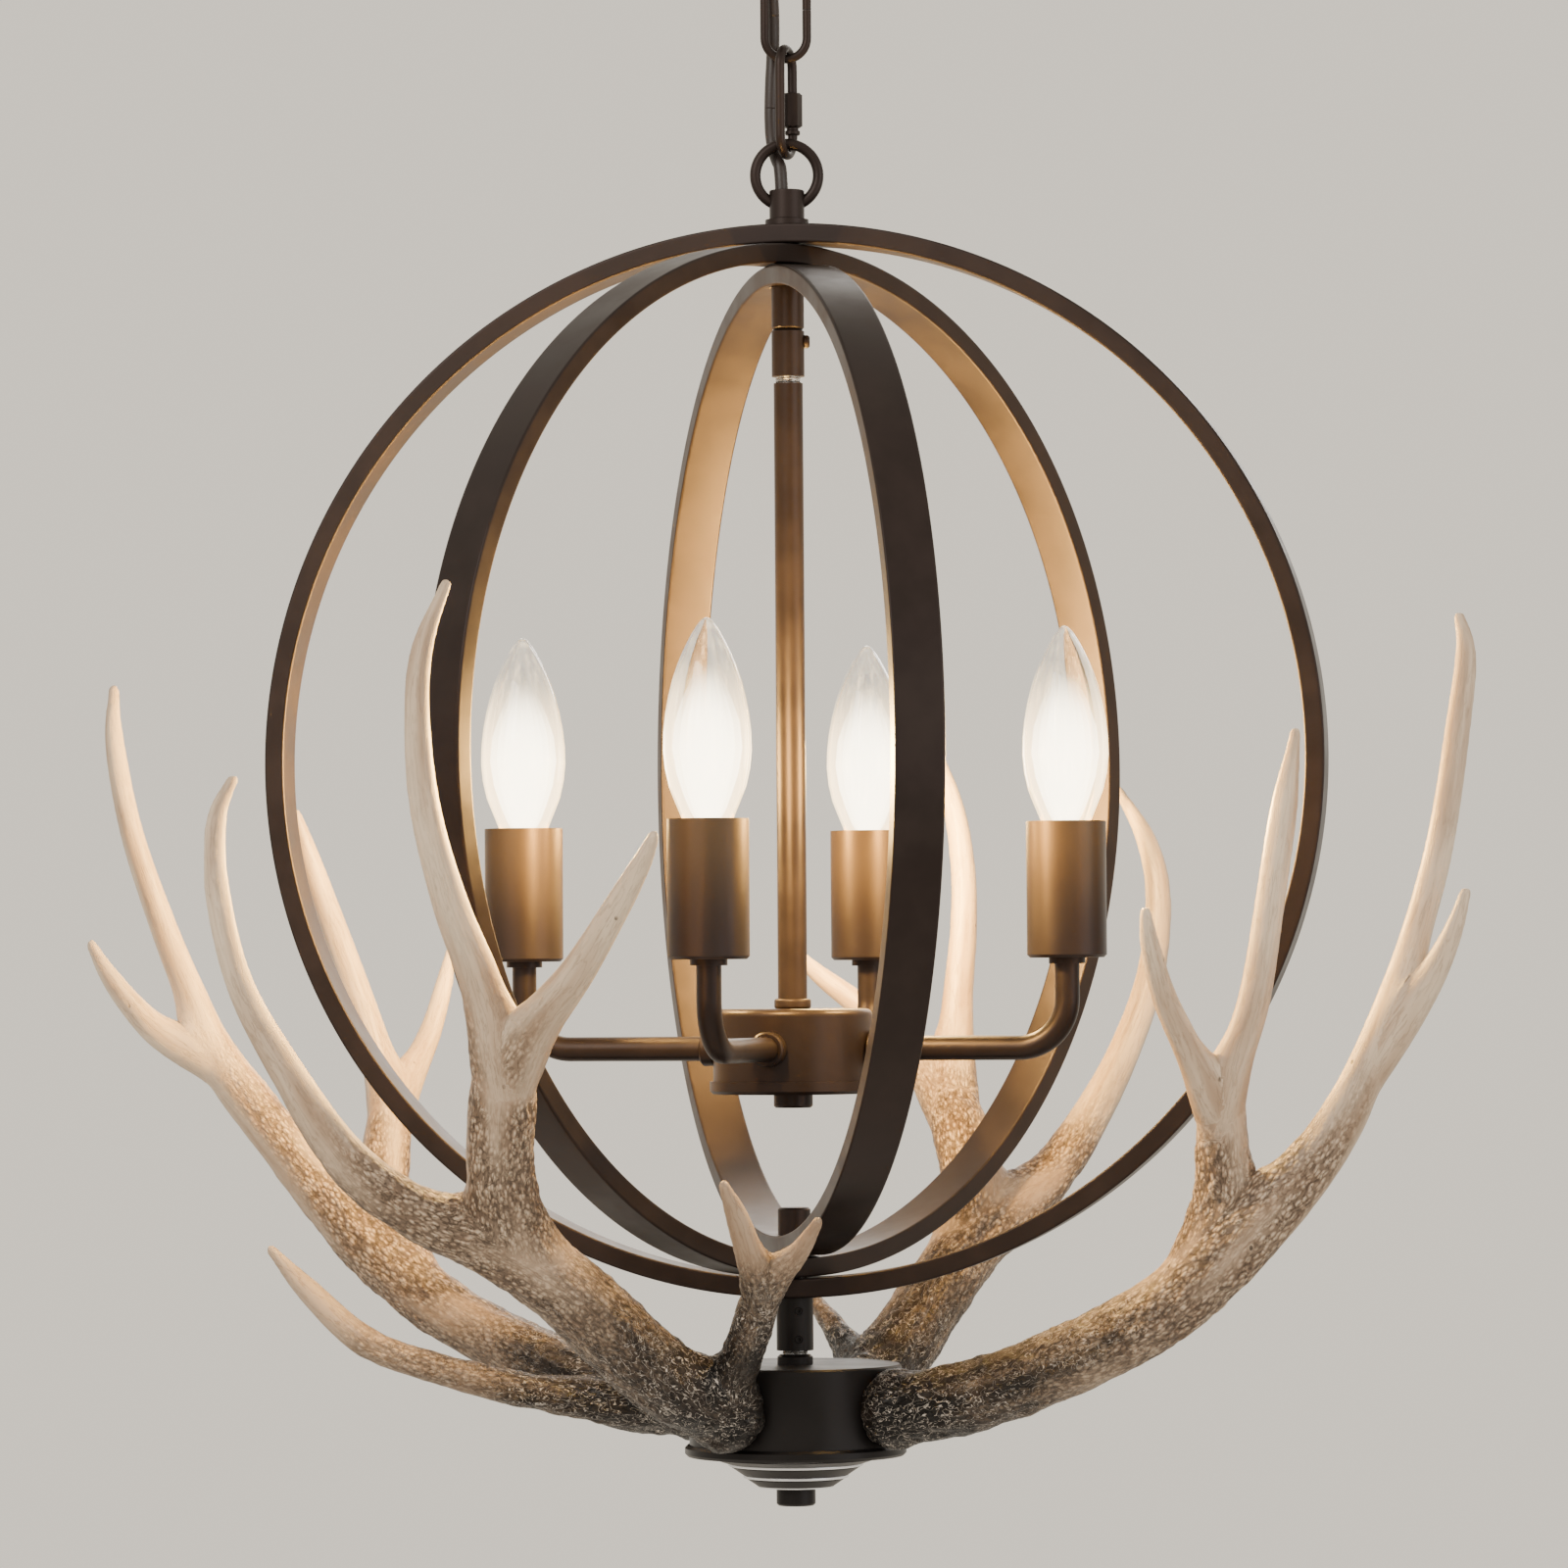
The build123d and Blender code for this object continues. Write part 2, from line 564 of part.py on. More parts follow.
with BuildPart() as hub_cap:
    with BuildSketch(Plane.XY.offset(hub_cap_bottom)):
        Circle(hub_cap_radius)
    extrude(amount=hub_cap_height)
    chamfer(hub_cap.edges().group_by(Axis.Z)[0], length=collar_edge)
    with BuildSketch(Plane.XY.offset(hub_cap_floor)):
        Circle(nipple_radius + thread_fit)
    extrude(amount=hub_cap_height, mode=Mode.SUBTRACT)
save(hub_cap.part, "hub_cap")

for side, turn in arm_turns.items():
    with BuildPart() as arm:
        with BuildLine() as arm_path:
            FilletPolyline(
                polar(hub_radius - arm_inset, turn, arm_z),
                polar(arm_reach, turn, arm_z),
                polar(arm_reach, turn, arm_z + arm_rise),
                radius=arm_bend,
            )
        with BuildSketch(outward(turn, hub_radius - arm_inset, arm_z)):
            Circle(arm_radius)
            Circle(arm_bore, mode=Mode.SUBTRACT)
        sweep(path=arm_path.wire())
    save(arm.part, f"arm_{side}")

with BuildPart() as arm_bosses:
    for turn in arm_turns.values():
        with BuildSketch(outward(turn, hub_radius, arm_z)):
            Circle(boss_radius)
            Circle(arm_radius + thread_fit, mode=Mode.SUBTRACT)
        extrude(amount=boss_length)
    boss_rims = arm_bosses.edges().filter_by(GeomType.CIRCLE).group_by(SortBy.RADIUS)[-1]
    chamfer(boss_rims, length=collar_edge)
save(arm_bosses.part, "arm_bosses")

# ---------------------------------------------------------------- sleeves, lampholders and lamps
arm_tops = [polar(arm_reach, turn, 0) for turn in arm_turns.values()]

with BuildPart() as socket_washers:
    with BuildSketch(Plane.XY.offset(socket_washer_z)):
        with Locations(*arm_tops):
            Circle(socket_washer_radius)
            Circle(arm_radius + thread_fit, mode=Mode.SUBTRACT)
    extrude(amount=socket_washer_thickness)
save(socket_washers.part, "socket_washers")

with BuildPart() as lampholders:
    with BuildSketch(Plane.XY.offset(holder_bottom)):
        with Locations(*arm_tops):
            Circle(holder_radius)
    extrude(amount=holder_height)
    with BuildSketch(Plane.XY.offset(holder_bottom)):
        with Locations(*arm_tops):
            Circle(arm_radius + thread_fit)
    extrude(amount=arm_thread, mode=Mode.SUBTRACT)
    with BuildSketch(Plane.XY.offset(holder_top - holder_well)):
        with Locations(*arm_tops):
            Circle(lamp_cap_radius + slip_fit)
    extrude(amount=holder_well, mode=Mode.SUBTRACT)
save(lampholders.part, "lampholders")


def lamp_body(upright, axis, inset):
    """The flame shape of a candle lamp, inset by its glass wall for the hollow inside."""
    foot = lamp_cap_radius - lamp_glass_wall - inset
    flame = [(radius - inset, sleeve_top + rise) for radius, rise in lamp_flame]
    with BuildPart() as piece:
        with BuildSketch(upright):
            with BuildLine():
                Polyline(
                    (0, lamp_cap_top),
                    (foot, lamp_cap_top),
                    (lamp_neck_radius - inset, sleeve_top),
                    *flame,
                    (0, sleeve_top + lamp_tip_rise - inset),
                    close=True,
                )
            make_face()
        revolve(axis=axis)
    return piece.part


for side, turn in arm_turns.items():
    foot = polar(arm_reach, turn, 0)
    upright = Plane(origin=foot, x_dir=polar(1, turn, 0), z_dir=polar(1, turn - 90, 0))
    lamp_axis = Axis(foot, (0, 0, 1))

    with BuildPart() as sleeve:
        with BuildSketch(Plane.XY.offset(sleeve_bottom)):
            with Locations(foot):
                Circle(sleeve_radius)
        extrude(amount=sleeve_height)
        chamfer(sleeve.edges().group_by(Axis.Z)[0], length=sleeve_bevel)
        with BuildSketch(Plane.XY.offset(sleeve_bottom + sleeve_foot)):
            with Locations(foot):
                Circle(sleeve_radius - sleeve_wall)
        extrude(amount=sleeve_height, mode=Mode.SUBTRACT)
        with BuildSketch(Plane.XY.offset(sleeve_bottom)):
            with Locations(foot):
                Circle(arm_radius + thread_fit)
        extrude(amount=sleeve_foot, mode=Mode.SUBTRACT)
    save(sleeve.part, f"candle_sleeve_{side}")

    with BuildPart() as bulb:
        add(lamp_body(upright, lamp_axis, 0))
        add(lamp_body(upright, lamp_axis, lamp_glass_wall), mode=Mode.SUBTRACT)
    save(bulb.part, f"bulb_{side}")

    with BuildPart() as bulb_cap:
        with BuildSketch(upright):
            with BuildLine():
                Polyline(
                    (0, lamp_cap_top),
                    (lamp_cap_radius, lamp_cap_top),
                    (lamp_cap_radius, lamp_cap_bottom + lamp_cap_radius),
                    (lamp_insulator_radius, lamp_cap_bottom + lamp_contact_radius),
                    (lamp_contact_radius, lamp_cap_bottom),
                    (0, lamp_cap_bottom),
                    close=True,
                )
            make_face()
        revolve(axis=lamp_axis)
    save(bulb_cap.part, f"bulb_cap_{side}")

# ---------------------------------------------------------------- lower pole and canister
lower_nipple_top = cap_nut_bottom + cap_nut_length * blind_thread
lower_nipple_bottom = steps_bottom - knob_height * blind_thread
lower_nipple = round_bar(nipple_radius, lower_nipple_bottom, lower_nipple_top, nipple_bore)
save(lower_nipple, "lower_nipple")

with BuildPart() as pole_cap_nut:
    with BuildSketch(Plane.XY.offset(cap_nut_bottom)):
        Circle(cap_nut_radius)
    extrude(amount=cap_nut_length)
    chamfer(pole_cap_nut.edges().group_by(Axis.Z)[-1], length=collar_edge)
    with BuildSketch(Plane.XY.offset(cap_nut_bottom)):
        Circle(nipple_radius + thread_fit)
    extrude(amount=lower_nipple_top - cap_nut_bottom, mode=Mode.SUBTRACT)
save(pole_cap_nut.part, "pole_cap_nut")

grub_planes = [
    outward(grub_screw_turn, nipple_radius, pole_z - drop) for drop in grub_screw_drops
]
with BuildPart() as lower_coupler:
    add(round_bar(lower_coupler_radius, lower_coupler_bottom, pole_z, nipple_radius + thread_fit))
    for plane in grub_planes:
        with BuildSketch(plane):
            Circle(grub_screw_radius + thread_fit)
        extrude(amount=lower_coupler_radius, mode=Mode.SUBTRACT)
save(lower_coupler.part, "lower_coupler")

with BuildPart() as grub_screws:
    for plane in grub_planes:
        with BuildSketch(plane):
            Circle(grub_screw_radius)
        extrude(amount=lower_coupler_radius - nipple_radius)
save(grub_screws.part, "grub_screws")

with BuildPart() as base_lock_ring:
    add(round_bar(base_lock_radius, canister_top, base_lock_top, nipple_radius + thread_fit))
    lock_rim = base_lock_ring.edges().group_by(Axis.Z)[-1].sort_by(SortBy.RADIUS)[-1]
    chamfer(lock_rim, length=base_lock_thickness / 4)
save(base_lock_ring.part, "base_lock_ring")

with BuildPart() as base_canister:
    with BuildSketch(Plane.XY.offset(canister_bottom)):
        Circle(canister_radius)
    extrude(amount=canister_height)
    chamfer(base_canister.edges().group_by(Axis.Z)[-1], length=canister_edge)
    with BuildSketch(Plane.XY.offset(canister_bottom)):
        Circle(canister_radius - canister_wall)
    extrude(amount=canister_height - canister_wall, mode=Mode.SUBTRACT)
    with Locations((0, 0, canister_top)):
        Hole(nipple_radius + thread_fit)
    for turn in antler_turns.values():
        with BuildSketch(outward(turn, canister_radius - 2 * canister_wall, antler_z)):
            Circle(antler_screw_radius + thread_fit)
        extrude(amount=3 * canister_wall, mode=Mode.SUBTRACT)
save(base_canister.part, "base_canister")

with BuildPart() as base_plate:
    add(round_bar(base_plate_radius, base_plate_bottom, canister_bottom, nipple_radius + thread_fit))
    plate_rims = base_plate.edges().filter_by(GeomType.CIRCLE).group_by(SortBy.RADIUS)[-1]
    chamfer(plate_rims, length=base_plate_thickness / 4)
save(base_plate.part, "base_plate")

step_outline = [(0, base_plate_bottom)]
for radius, foot_radius, height in steps:
    step_top = step_outline[-1][1]
    step_outline += [(radius, step_top), (radius, step_top - step_rim), (foot_radius, step_top - height)]

with BuildPart() as finial_steps:
    with BuildSketch(Plane.XZ):
        with BuildLine():
            Polyline(*step_outline, (0, steps_bottom), close=True)
        make_face()
    revolve(axis=Axis.Z)
    with Locations((0, 0, base_plate_bottom)):
        Hole(nipple_radius + thread_fit)
save(finial_steps.part, "finial_steps")

with BuildPart() as finial_knob:
    with BuildSketch(Plane.XY.offset(knob_bottom)):
        Circle(knob_radius)
    extrude(amount=knob_height)
    chamfer(finial_knob.edges().group_by(Axis.Z)[0], length=collar_edge)
    with BuildSketch(Plane.XY.offset(lower_nipple_bottom)):
        Circle(nipple_radius + thread_fit)
    extrude(amount=knob_height, mode=Mode.SUBTRACT)
save(finial_knob.part, "finial_knob")

# ---------------------------------------------------------------- antlers
with BuildPart(mode=Mode.PRIVATE) as canister_space:
    with BuildSketch(Plane.XY.offset(canister_bottom)):
        Circle(canister_radius)
    extrude(amount=2 * canister_height)
    with BuildSketch(Plane.XY.offset(base_plate_bottom - base_plate_thickness)):
        Circle(base_plate_radius + antler_plate_gap)
    extrude(amount=2 * base_plate_thickness + antler_plate_gap)


def branch(sections, turn):
    """A tapered branch through many-sided sections, each square to the way it runs there."""
    root = Vector(0, 0, antler_z)
    centres = [Vector(x, y, z) * antler_spread + root for x, y, z, radius in sections]
    sideways = polar(1, turn + 90, 0)
    with BuildPart() as piece:
        for place, (x, y, z, radius) in enumerate(sections):
            ahead = centres[min(place + 1, len(centres) - 1)]
            behind = centres[max(place - 1, 0)]
            run = (ahead - behind).normalized()
            across = sideways - run * sideways.dot(run)
            with BuildSketch(Plane(origin=centres[place], x_dir=across, z_dir=run)):
                RegularPolygon(radius, antler_sides)
        loft(ruled=True)
    return piece.part


for side, turn in antler_turns.items():
    with BuildPart() as antler:
        for reach, radius in burr_profile:
            with BuildSketch(outward(turn, canister_radius + reach, antler_z)):
                RegularPolygon(radius, antler_sides)
        loft(ruled=True)
        for sections in antlers[side]:
            add(branch(sections, turn))
        add(canister_space.part, mode=Mode.SUBTRACT)
        with BuildSketch(outward(turn, canister_radius - canister_wall, antler_z)):
            Circle(antler_screw_radius + thread_fit)
        extrude(amount=canister_wall + antler_screw_length + slip_fit, mode=Mode.SUBTRACT)
    save(antler.part, f"antler_{side}")

head_seat = sqrt((canister_radius - canister_wall) ** 2 - antler_screw_head_radius**2)
with BuildPart() as antler_screws:
    for turn in antler_turns.values():
        head_plane = outward(turn, head_seat, antler_z)
        with BuildSketch(head_plane):
            Circle(antler_screw_radius)
        extrude(amount=canister_radius + antler_screw_length - head_seat)
        with BuildSketch(head_plane):
            Circle(antler_screw_head_radius)
        extrude(amount=-antler_screw_head_height)
save(antler_screws.part, "antler_screws")
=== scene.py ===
"""The looks of an orb chandelier with four antlers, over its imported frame. Metres, +Z up."""

import json
from math import asin, cos, pi, radians, sin

import bmesh
import bpy
import numpy as np
from bpy.props import FloatProperty, FloatVectorProperty, IntProperty, PointerProperty
from mathutils import Matrix, Vector, noise

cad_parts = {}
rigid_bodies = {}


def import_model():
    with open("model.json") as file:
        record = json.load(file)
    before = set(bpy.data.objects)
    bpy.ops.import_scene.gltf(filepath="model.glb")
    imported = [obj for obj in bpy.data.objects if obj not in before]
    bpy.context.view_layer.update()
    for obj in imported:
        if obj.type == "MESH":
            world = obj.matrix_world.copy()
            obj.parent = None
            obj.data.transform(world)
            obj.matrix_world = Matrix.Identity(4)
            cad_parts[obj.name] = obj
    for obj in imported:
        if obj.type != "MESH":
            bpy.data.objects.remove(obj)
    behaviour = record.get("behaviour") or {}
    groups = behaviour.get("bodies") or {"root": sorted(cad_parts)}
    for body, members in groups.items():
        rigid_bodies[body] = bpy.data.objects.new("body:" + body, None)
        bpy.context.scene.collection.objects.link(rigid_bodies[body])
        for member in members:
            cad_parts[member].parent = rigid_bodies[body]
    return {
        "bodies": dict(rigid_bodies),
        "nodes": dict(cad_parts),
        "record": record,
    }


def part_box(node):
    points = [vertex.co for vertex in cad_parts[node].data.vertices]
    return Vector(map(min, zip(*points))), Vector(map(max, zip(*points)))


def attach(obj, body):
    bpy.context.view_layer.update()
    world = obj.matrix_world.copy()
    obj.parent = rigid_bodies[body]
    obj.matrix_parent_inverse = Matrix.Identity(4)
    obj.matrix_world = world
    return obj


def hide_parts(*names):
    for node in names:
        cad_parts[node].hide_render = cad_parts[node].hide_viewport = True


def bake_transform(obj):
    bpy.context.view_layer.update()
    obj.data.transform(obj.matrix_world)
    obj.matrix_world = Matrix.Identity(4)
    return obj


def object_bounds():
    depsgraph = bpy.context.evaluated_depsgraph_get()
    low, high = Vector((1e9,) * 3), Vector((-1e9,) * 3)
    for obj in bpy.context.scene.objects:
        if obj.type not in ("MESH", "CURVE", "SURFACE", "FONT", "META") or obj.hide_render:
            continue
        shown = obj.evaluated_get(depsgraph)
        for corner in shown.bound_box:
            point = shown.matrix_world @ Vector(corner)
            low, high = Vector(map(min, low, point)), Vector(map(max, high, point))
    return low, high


bl_info = {
    "name": "Antler chandelier",
    "version": (1, 0, 0),
    "blender": (4, 5, 0),
    "location": "3D View > Sidebar > Chandelier",
    "description": "Dresses the frame of an orb chandelier with four antlers",
    "category": "Object",
}

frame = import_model()
cad_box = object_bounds()

MM = 0.001
SIDES = ("front_right", "back_right", "back_left", "front_left")
OUTER_LOW, OUTER_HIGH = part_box("ring_outer")
ORB_CENTRE = Vector((0, 0, (OUTER_LOW.z + OUTER_HIGH.z) / 2))


# ---------------------------------------------------------------- shader arithmetic
class Paint:
    """One material's node tree. node() adds any node and gives its output back as a Value."""

    def __init__(self, name):
        self.material = bpy.data.materials.new(name)
        self.material.use_nodes = True
        self.tree = self.material.node_tree
        self.shader = self.tree.nodes["Principled BSDF"]

    def feed(self, socket, given):
        if isinstance(given, Value):
            self.tree.links.new(given.socket, socket)
        else:
            socket.default_value = given

    def node(self, kind, settings=None, inputs=None, output=0):
        made = self.tree.nodes.new(kind)
        for name, setting in (settings or {}).items():
            setattr(made, name, setting)
        for name, given in (inputs or {}).items():
            self.feed(made.inputs[name], given)
        return Value(self, made.outputs[output])

    def place(self):
        return self.node("ShaderNodeTexCoord", output="Object")

    def attribute(self, name, output="Fac"):
        return self.node("ShaderNodeAttribute", {"attribute_name": name}, output=output)

    def scaled(self, vector, scale):
        return self.node("ShaderNodeMapping", inputs={"Vector": vector, "Scale": scale})

    def cloud(self, vector, scale, detail=4.0, roughness=0.6, distortion=0.0):
        shape = {"Detail": detail, "Roughness": roughness, "Distortion": distortion}
        return self.node("ShaderNodeTexNoise", inputs={"Vector": vector, "Scale": scale, **shape})

    def cells(self, vector, scale):
        return self.node("ShaderNodeTexVoronoi", inputs={"Vector": vector, "Scale": scale})

    def blend(self, share, first, second):
        made = self.tree.nodes.new("ShaderNodeMix")
        made.data_type = "RGBA"
        self.feed(made.inputs["Factor"], share)
        self.feed(made.inputs[6], first)
        self.feed(made.inputs[7], second)
        return Value(self, made.outputs[2])

    def mottled(self, share, colour, dark, pale):
        return self.blend(share, shade(colour, dark), shade(colour, pale))

    def bump(self, height, depth, strength=1.0):
        inputs = {"Height": height, "Distance": depth, "Strength": strength}
        return self.node("ShaderNodeBump", inputs=inputs)

    def set(self, **given):
        for name, value in given.items():
            self.feed(self.shader.inputs[name.replace("_", " ")], value)


class Value:
    """A shader output that is added, multiplied and shaped in plain arithmetic."""

    def __init__(self, paint, socket):
        self.paint = paint
        self.socket = socket

    def maths(self, operation, other=None, swapped=False):
        made = self.paint.tree.nodes.new("ShaderNodeMath")
        made.operation = operation
        first, second = (other, self) if swapped else (self, other)
        self.paint.feed(made.inputs[0], first)
        if second is not None:
            self.paint.feed(made.inputs[1], second)
        return Value(self.paint, made.outputs[0])

    def __add__(self, other):
        return self.maths("ADD", other)

    def __radd__(self, other):
        return self.maths("ADD", other)

    def __sub__(self, other):
        return self.maths("SUBTRACT", other)

    def __rsub__(self, other):
        return self.maths("SUBTRACT", other, swapped=True)

    def __mul__(self, other):
        return self.maths("MULTIPLY", other)

    def __pow__(self, other):
        return self.maths("POWER", other)

    def step(self, low, high, to_low=0.0, to_high=1.0):
        ends = {"From Min": low, "From Max": high, "To Min": to_low, "To Max": to_high}
        settings = {"interpolation_type": "SMOOTHSTEP"}
        return self.paint.node("ShaderNodeMapRange", settings, {"Value": self, **ends})

    def part(self, name):
        return self.paint.node("ShaderNodeSeparateXYZ", inputs={"Vector": self}, output=name)


def shade(colour, factor):
    """The colour made lighter or darker, opaque."""
    return (colour[0] * factor, colour[1] * factor, colour[2] * factor, 1.0)


# ---------------------------------------------------------------- finishes
# Depths in metres of the fine relief that the finishes shade.
PEEL_DEPTH = 0.00002
THREAD_DEPTH = 0.0002
GRAIN_DEPTH = 0.00004
# How many times a metre each pattern of the antlers repeats, roughly.
PATTERN = {
    "blotch": 30.0,
    "patch": 75.0,
    "pearls": 620.0,
    "ridges": 380.0,
    "veins": 300.0,
    "fibres": 520.0,
    "bands": 120.0,
    "pits": 115.0,
}
BLACK = (0.0, 0.0, 0.0, 1.0)


def satin(paint, place, roughness, metallic, gloss):
    """Give a material satin paint's fine orange peel and uneven sheen; its clouds come back."""
    clouds = paint.cloud(place, 38.0, 3.0)
    peel = paint.cloud(place, 900.0, 2.0, 0.5)
    paint.set(
        Roughness=clouds.step(0.3, 0.7, roughness - 0.05, roughness + 0.06),
        Metallic=metallic,
        Specular_IOR_Level=gloss,
        Normal=paint.bump(peel, PEEL_DEPTH, 0.5),
    )
    return clouds


def painted_metal(name, colour, roughness):
    """Satin paint over metal, faintly clouded."""
    paint = Paint(name)
    clouds = satin(paint, paint.place(), roughness, 0.55, 0.28)
    paint.set(Base_Color=paint.mottled(clouds.step(0.35, 0.7), colour, 0.9, 1.16))
    return paint.material


def metal_with_painted_lamplight(name, colour, glow, low, high, roughness):
    """Satin paint with the warm light of its own lamp painted into its colour, strongest at the
    sleeve's top.
    """
    paint = Paint(name)
    place = paint.place()
    satin(paint, place, roughness, 0.5, 0.35)
    # Painted light: up the sleeve the colour blends from the paint made 1.2 times lighter into the
    # lamp-lit colour at the top.
    painted_light_share = place.part("Z").step(low, high) ** 1.4
    paint.set(Base_Color=paint.blend(painted_light_share, shade(colour, 1.2), glow))
    return paint.material


def bright_metal(name, colour, roughness, pitch):
    """Plated threaded tube: the thread's ridges run round it at the given pitch."""
    paint = Paint(name)
    place = paint.place()
    ridge = (place.part("Z") * (2 * pi / pitch)).maths("SINE")
    smear = paint.cloud(place, 420.0, 3.0)
    paint.set(
        Base_Color=paint.mottled(smear.step(0.3, 0.75), colour, 0.72, 1.0),
        Roughness=smear.step(0.3, 0.7, roughness, roughness + 0.14),
        Metallic=1.0,
        Normal=paint.bump(ridge, THREAD_DEPTH),
    )
    return paint.material


def plain_plastic(name, colour, roughness):
    """Moulded plastic or drawn cable sheath with a faint grain."""
    paint = Paint(name)
    place = paint.place()
    clouds = paint.cloud(place, 260.0, 3.0)
    paint.set(
        Base_Color=paint.mottled(clouds.step(0.3, 0.7), colour, 0.86, 1.12),
        Roughness=clouds.step(0.3, 0.7, roughness - 0.04, roughness + 0.08),
        Normal=paint.bump(paint.cloud(place, 1900.0, 2.0), GRAIN_DEPTH, 0.5),
    )
    return paint.material


def antler_finish(settings):
    """Cream tips with pits and soft grooves, pearled tan bark, and a dark foot with highlights
    painted on its crests.
    """
    paint = Paint("antler")
    place = paint.place()
    grain = paint.attribute("grain", "Vector")
    age, rough, lump, whole = map(paint.attribute, ("age", "rough", "lump", "whole"))
    bark_grain = paint.scaled(grain, (1.0, 1.0, 0.55))
    long_grain = paint.scaled(grain, (1.0, 1.0, 0.09))
    blotch = paint.cloud(place, PATTERN["blotch"], 3.0, 0.55)
    patch = paint.cloud(place, PATTERN["patch"], 2.0, 0.5)
    pearls = paint.cells(bark_grain, PATTERN["pearls"])
    ridges = paint.cloud(bark_grain, PATTERN["ridges"], 2.0, 0.5, 1.0)
    veins = paint.cloud(bark_grain, PATTERN["veins"], 4.0, 0.62, 1.2)
    fibres = paint.cloud(long_grain, PATTERN["fibres"], 3.0, 0.6)
    bands = paint.cloud(long_grain, PATTERN["bands"], 2.0, 0.5)
    pits = paint.cells(paint.scaled(place, (1.0, 1.0, 0.6)), PATTERN["pits"])

    pearl = pearls.step(0.46, 0.14)
    recess = pearls.step(0.40, 0.66)
    crest = (ridges - 0.5).maths("ABSOLUTE").step(0.026, 0.006)
    crease = (veins - 0.47).maths("ABSOLUTE").step(0.045, 0.0)
    split = (fibres - 0.5).maths("ABSOLUTE").step(0.035, 0.0)
    foot = (age + (blotch - 0.5) * 0.26 + (bands - 0.5) * 0.3).step(0.42, 0.08)
    tan = (age + (blotch - 0.5) * 0.35).step(0.82, 0.36)
    bark = rough.step(0.0, 0.75)

    cream = paint.blend(bands.step(0.62, 0.36), settings.cream[:], settings.honey[:])
    cream = paint.blend(bands.step(0.45, 0.28) * 0.6, cream, settings.tan[:])
    cream = paint.blend(split * patch.step(0.4, 0.62) * 0.4, cream, settings.tan[:])
    middle = paint.blend(patch.step(0.3, 0.7), settings.tan[:], settings.honey[:])
    middle = paint.blend(pearl * 0.65, middle, settings.cream[:])
    middle = paint.blend(recess * 0.7, middle, settings.bark[:])
    middle = paint.blend(crease * 0.7, middle, settings.bark[:])
    middle = paint.blend(split * blotch.step(0.45, 0.6) * 0.6, middle, settings.bark[:])
    skin = paint.blend(tan * 0.55 + split * tan * 0.3, cream, settings.tan[:])
    skin = paint.blend(bark, skin, middle)
    dark = paint.blend(patch.step(0.4, 0.8) * 0.4, settings.foot[:], settings.bark[:])
    # Painted highlight: the foot's crests are lightened to a pale colour.
    dark = paint.blend(crest * blotch.step(0.25, 0.55) * 0.9, dark, settings.painted_crest_highlight[:])
    skin = paint.blend(foot * rough.step(0.1, 0.9), skin, dark)
    speck = pits.step(0.10, 0.06) * patch.step(0.50, 0.62)
    skin = paint.blend(speck * 0.8, skin, settings.foot[:])

    pearled = (pearl * 0.5 - recess * 0.4 - crease * 0.4) * (1.0 - foot)
    wormed = (crest * 0.9 - crease * 0.5) * foot
    height = (pearled + wormed + lump * 0.3) * bark + bands * 0.3 - split * 0.12 - speck * 0.3
    height = height * whole
    paint.set(
        Base_Color=skin,
        Roughness=0.46 - foot * 0.14 + fibres * 0.1,
        Coat_Weight=0.12 - foot * 0.12,
        Coat_Roughness=0.3,
        Specular_IOR_Level=0.32,
        Normal=paint.bump(height, settings.relief * MM, 0.9),
    )
    return paint.material


def lamp_glass(settings, low, high):
    """Thin clear glass that carries the lamp's glow in its lower half, with painted reflections in
    faint upright streaks.
    """
    paint = Paint("lamp_glass")
    up = paint.place().part("Z")
    span = high - low
    glow = up.step(low + 0.86 * span, low + 0.30 * span)
    # Painted reflection: faint upright streaks of emission on the glass.
    painted_reflection_streaks = paint.cloud(paint.scaled(paint.place(), (1.0, 1.0, 0.04)), 420.0, 2.0)
    rim = paint.node("ShaderNodeLayerWeight", inputs={"Blend": 0.25}, output="Facing")
    haze = glow * (0.45 + rim * 0.35) + painted_reflection_streaks.step(0.52, 0.72) * 0.22 + rim ** 3.0 * 0.18
    paint.set(
        Base_Color=(1.0, 0.985, 0.97, 1.0),
        Roughness=0.02,
        IOR=1.45,
        Transmission_Weight=1.0,
        Emission_Color=paint.blend(haze, BLACK, settings.glow[:]),
        Emission_Strength=settings.glass_strength,
    )
    return paint.material


def lamp_glow(settings, low, high):
    """The bright cloud round the filament, which fades out upwards."""
    paint = Paint("lamp_glow")
    fade = paint.place().part("Z").step(high + 0.014, low + 0.35 * (high - low)) * 0.45
    paint.set(
        Base_Color=BLACK,
        Roughness=1.0,
        Specular_IOR_Level=0.0,
        Alpha=fade,
        Emission_Color=(1.0, 0.93, 0.74, 1.0),
        Emission_Strength=settings.core_strength,
    )
    return paint.material


def matte(name, colour, roughness):
    """Plain studio surface with a barely seen mottle."""
    paint = Paint(name)
    mottle = paint.cloud(paint.place(), 3.0, 2.0)
    paint.set(
        Base_Color=paint.mottled(mottle.step(0.3, 0.7), colour, 0.985, 1.0),
        Roughness=roughness,
    )
    return paint.material


def dress(names, material):
    """Give these nodes of the frame one finish."""
    for name in names:
        slots = frame["nodes"][name].data.materials
        slots.clear()
        slots.append(material)


# ---------------------------------------------------------------- meshes
CREASE = 38  # degrees between faces from which an edge is sharp


def linked(name, data):
    """A new object of the scene that shows this data."""
    made = bpy.data.objects.new(name, data)
    bpy.context.scene.collection.objects.link(made)
    return made


def settled_mesh(piece):
    """The piece's mesh as its modifiers leave it."""
    bpy.context.view_layer.update()
    evaluated = piece.evaluated_get(bpy.context.evaluated_depsgraph_get())
    return bpy.data.meshes.new_from_object(evaluated)


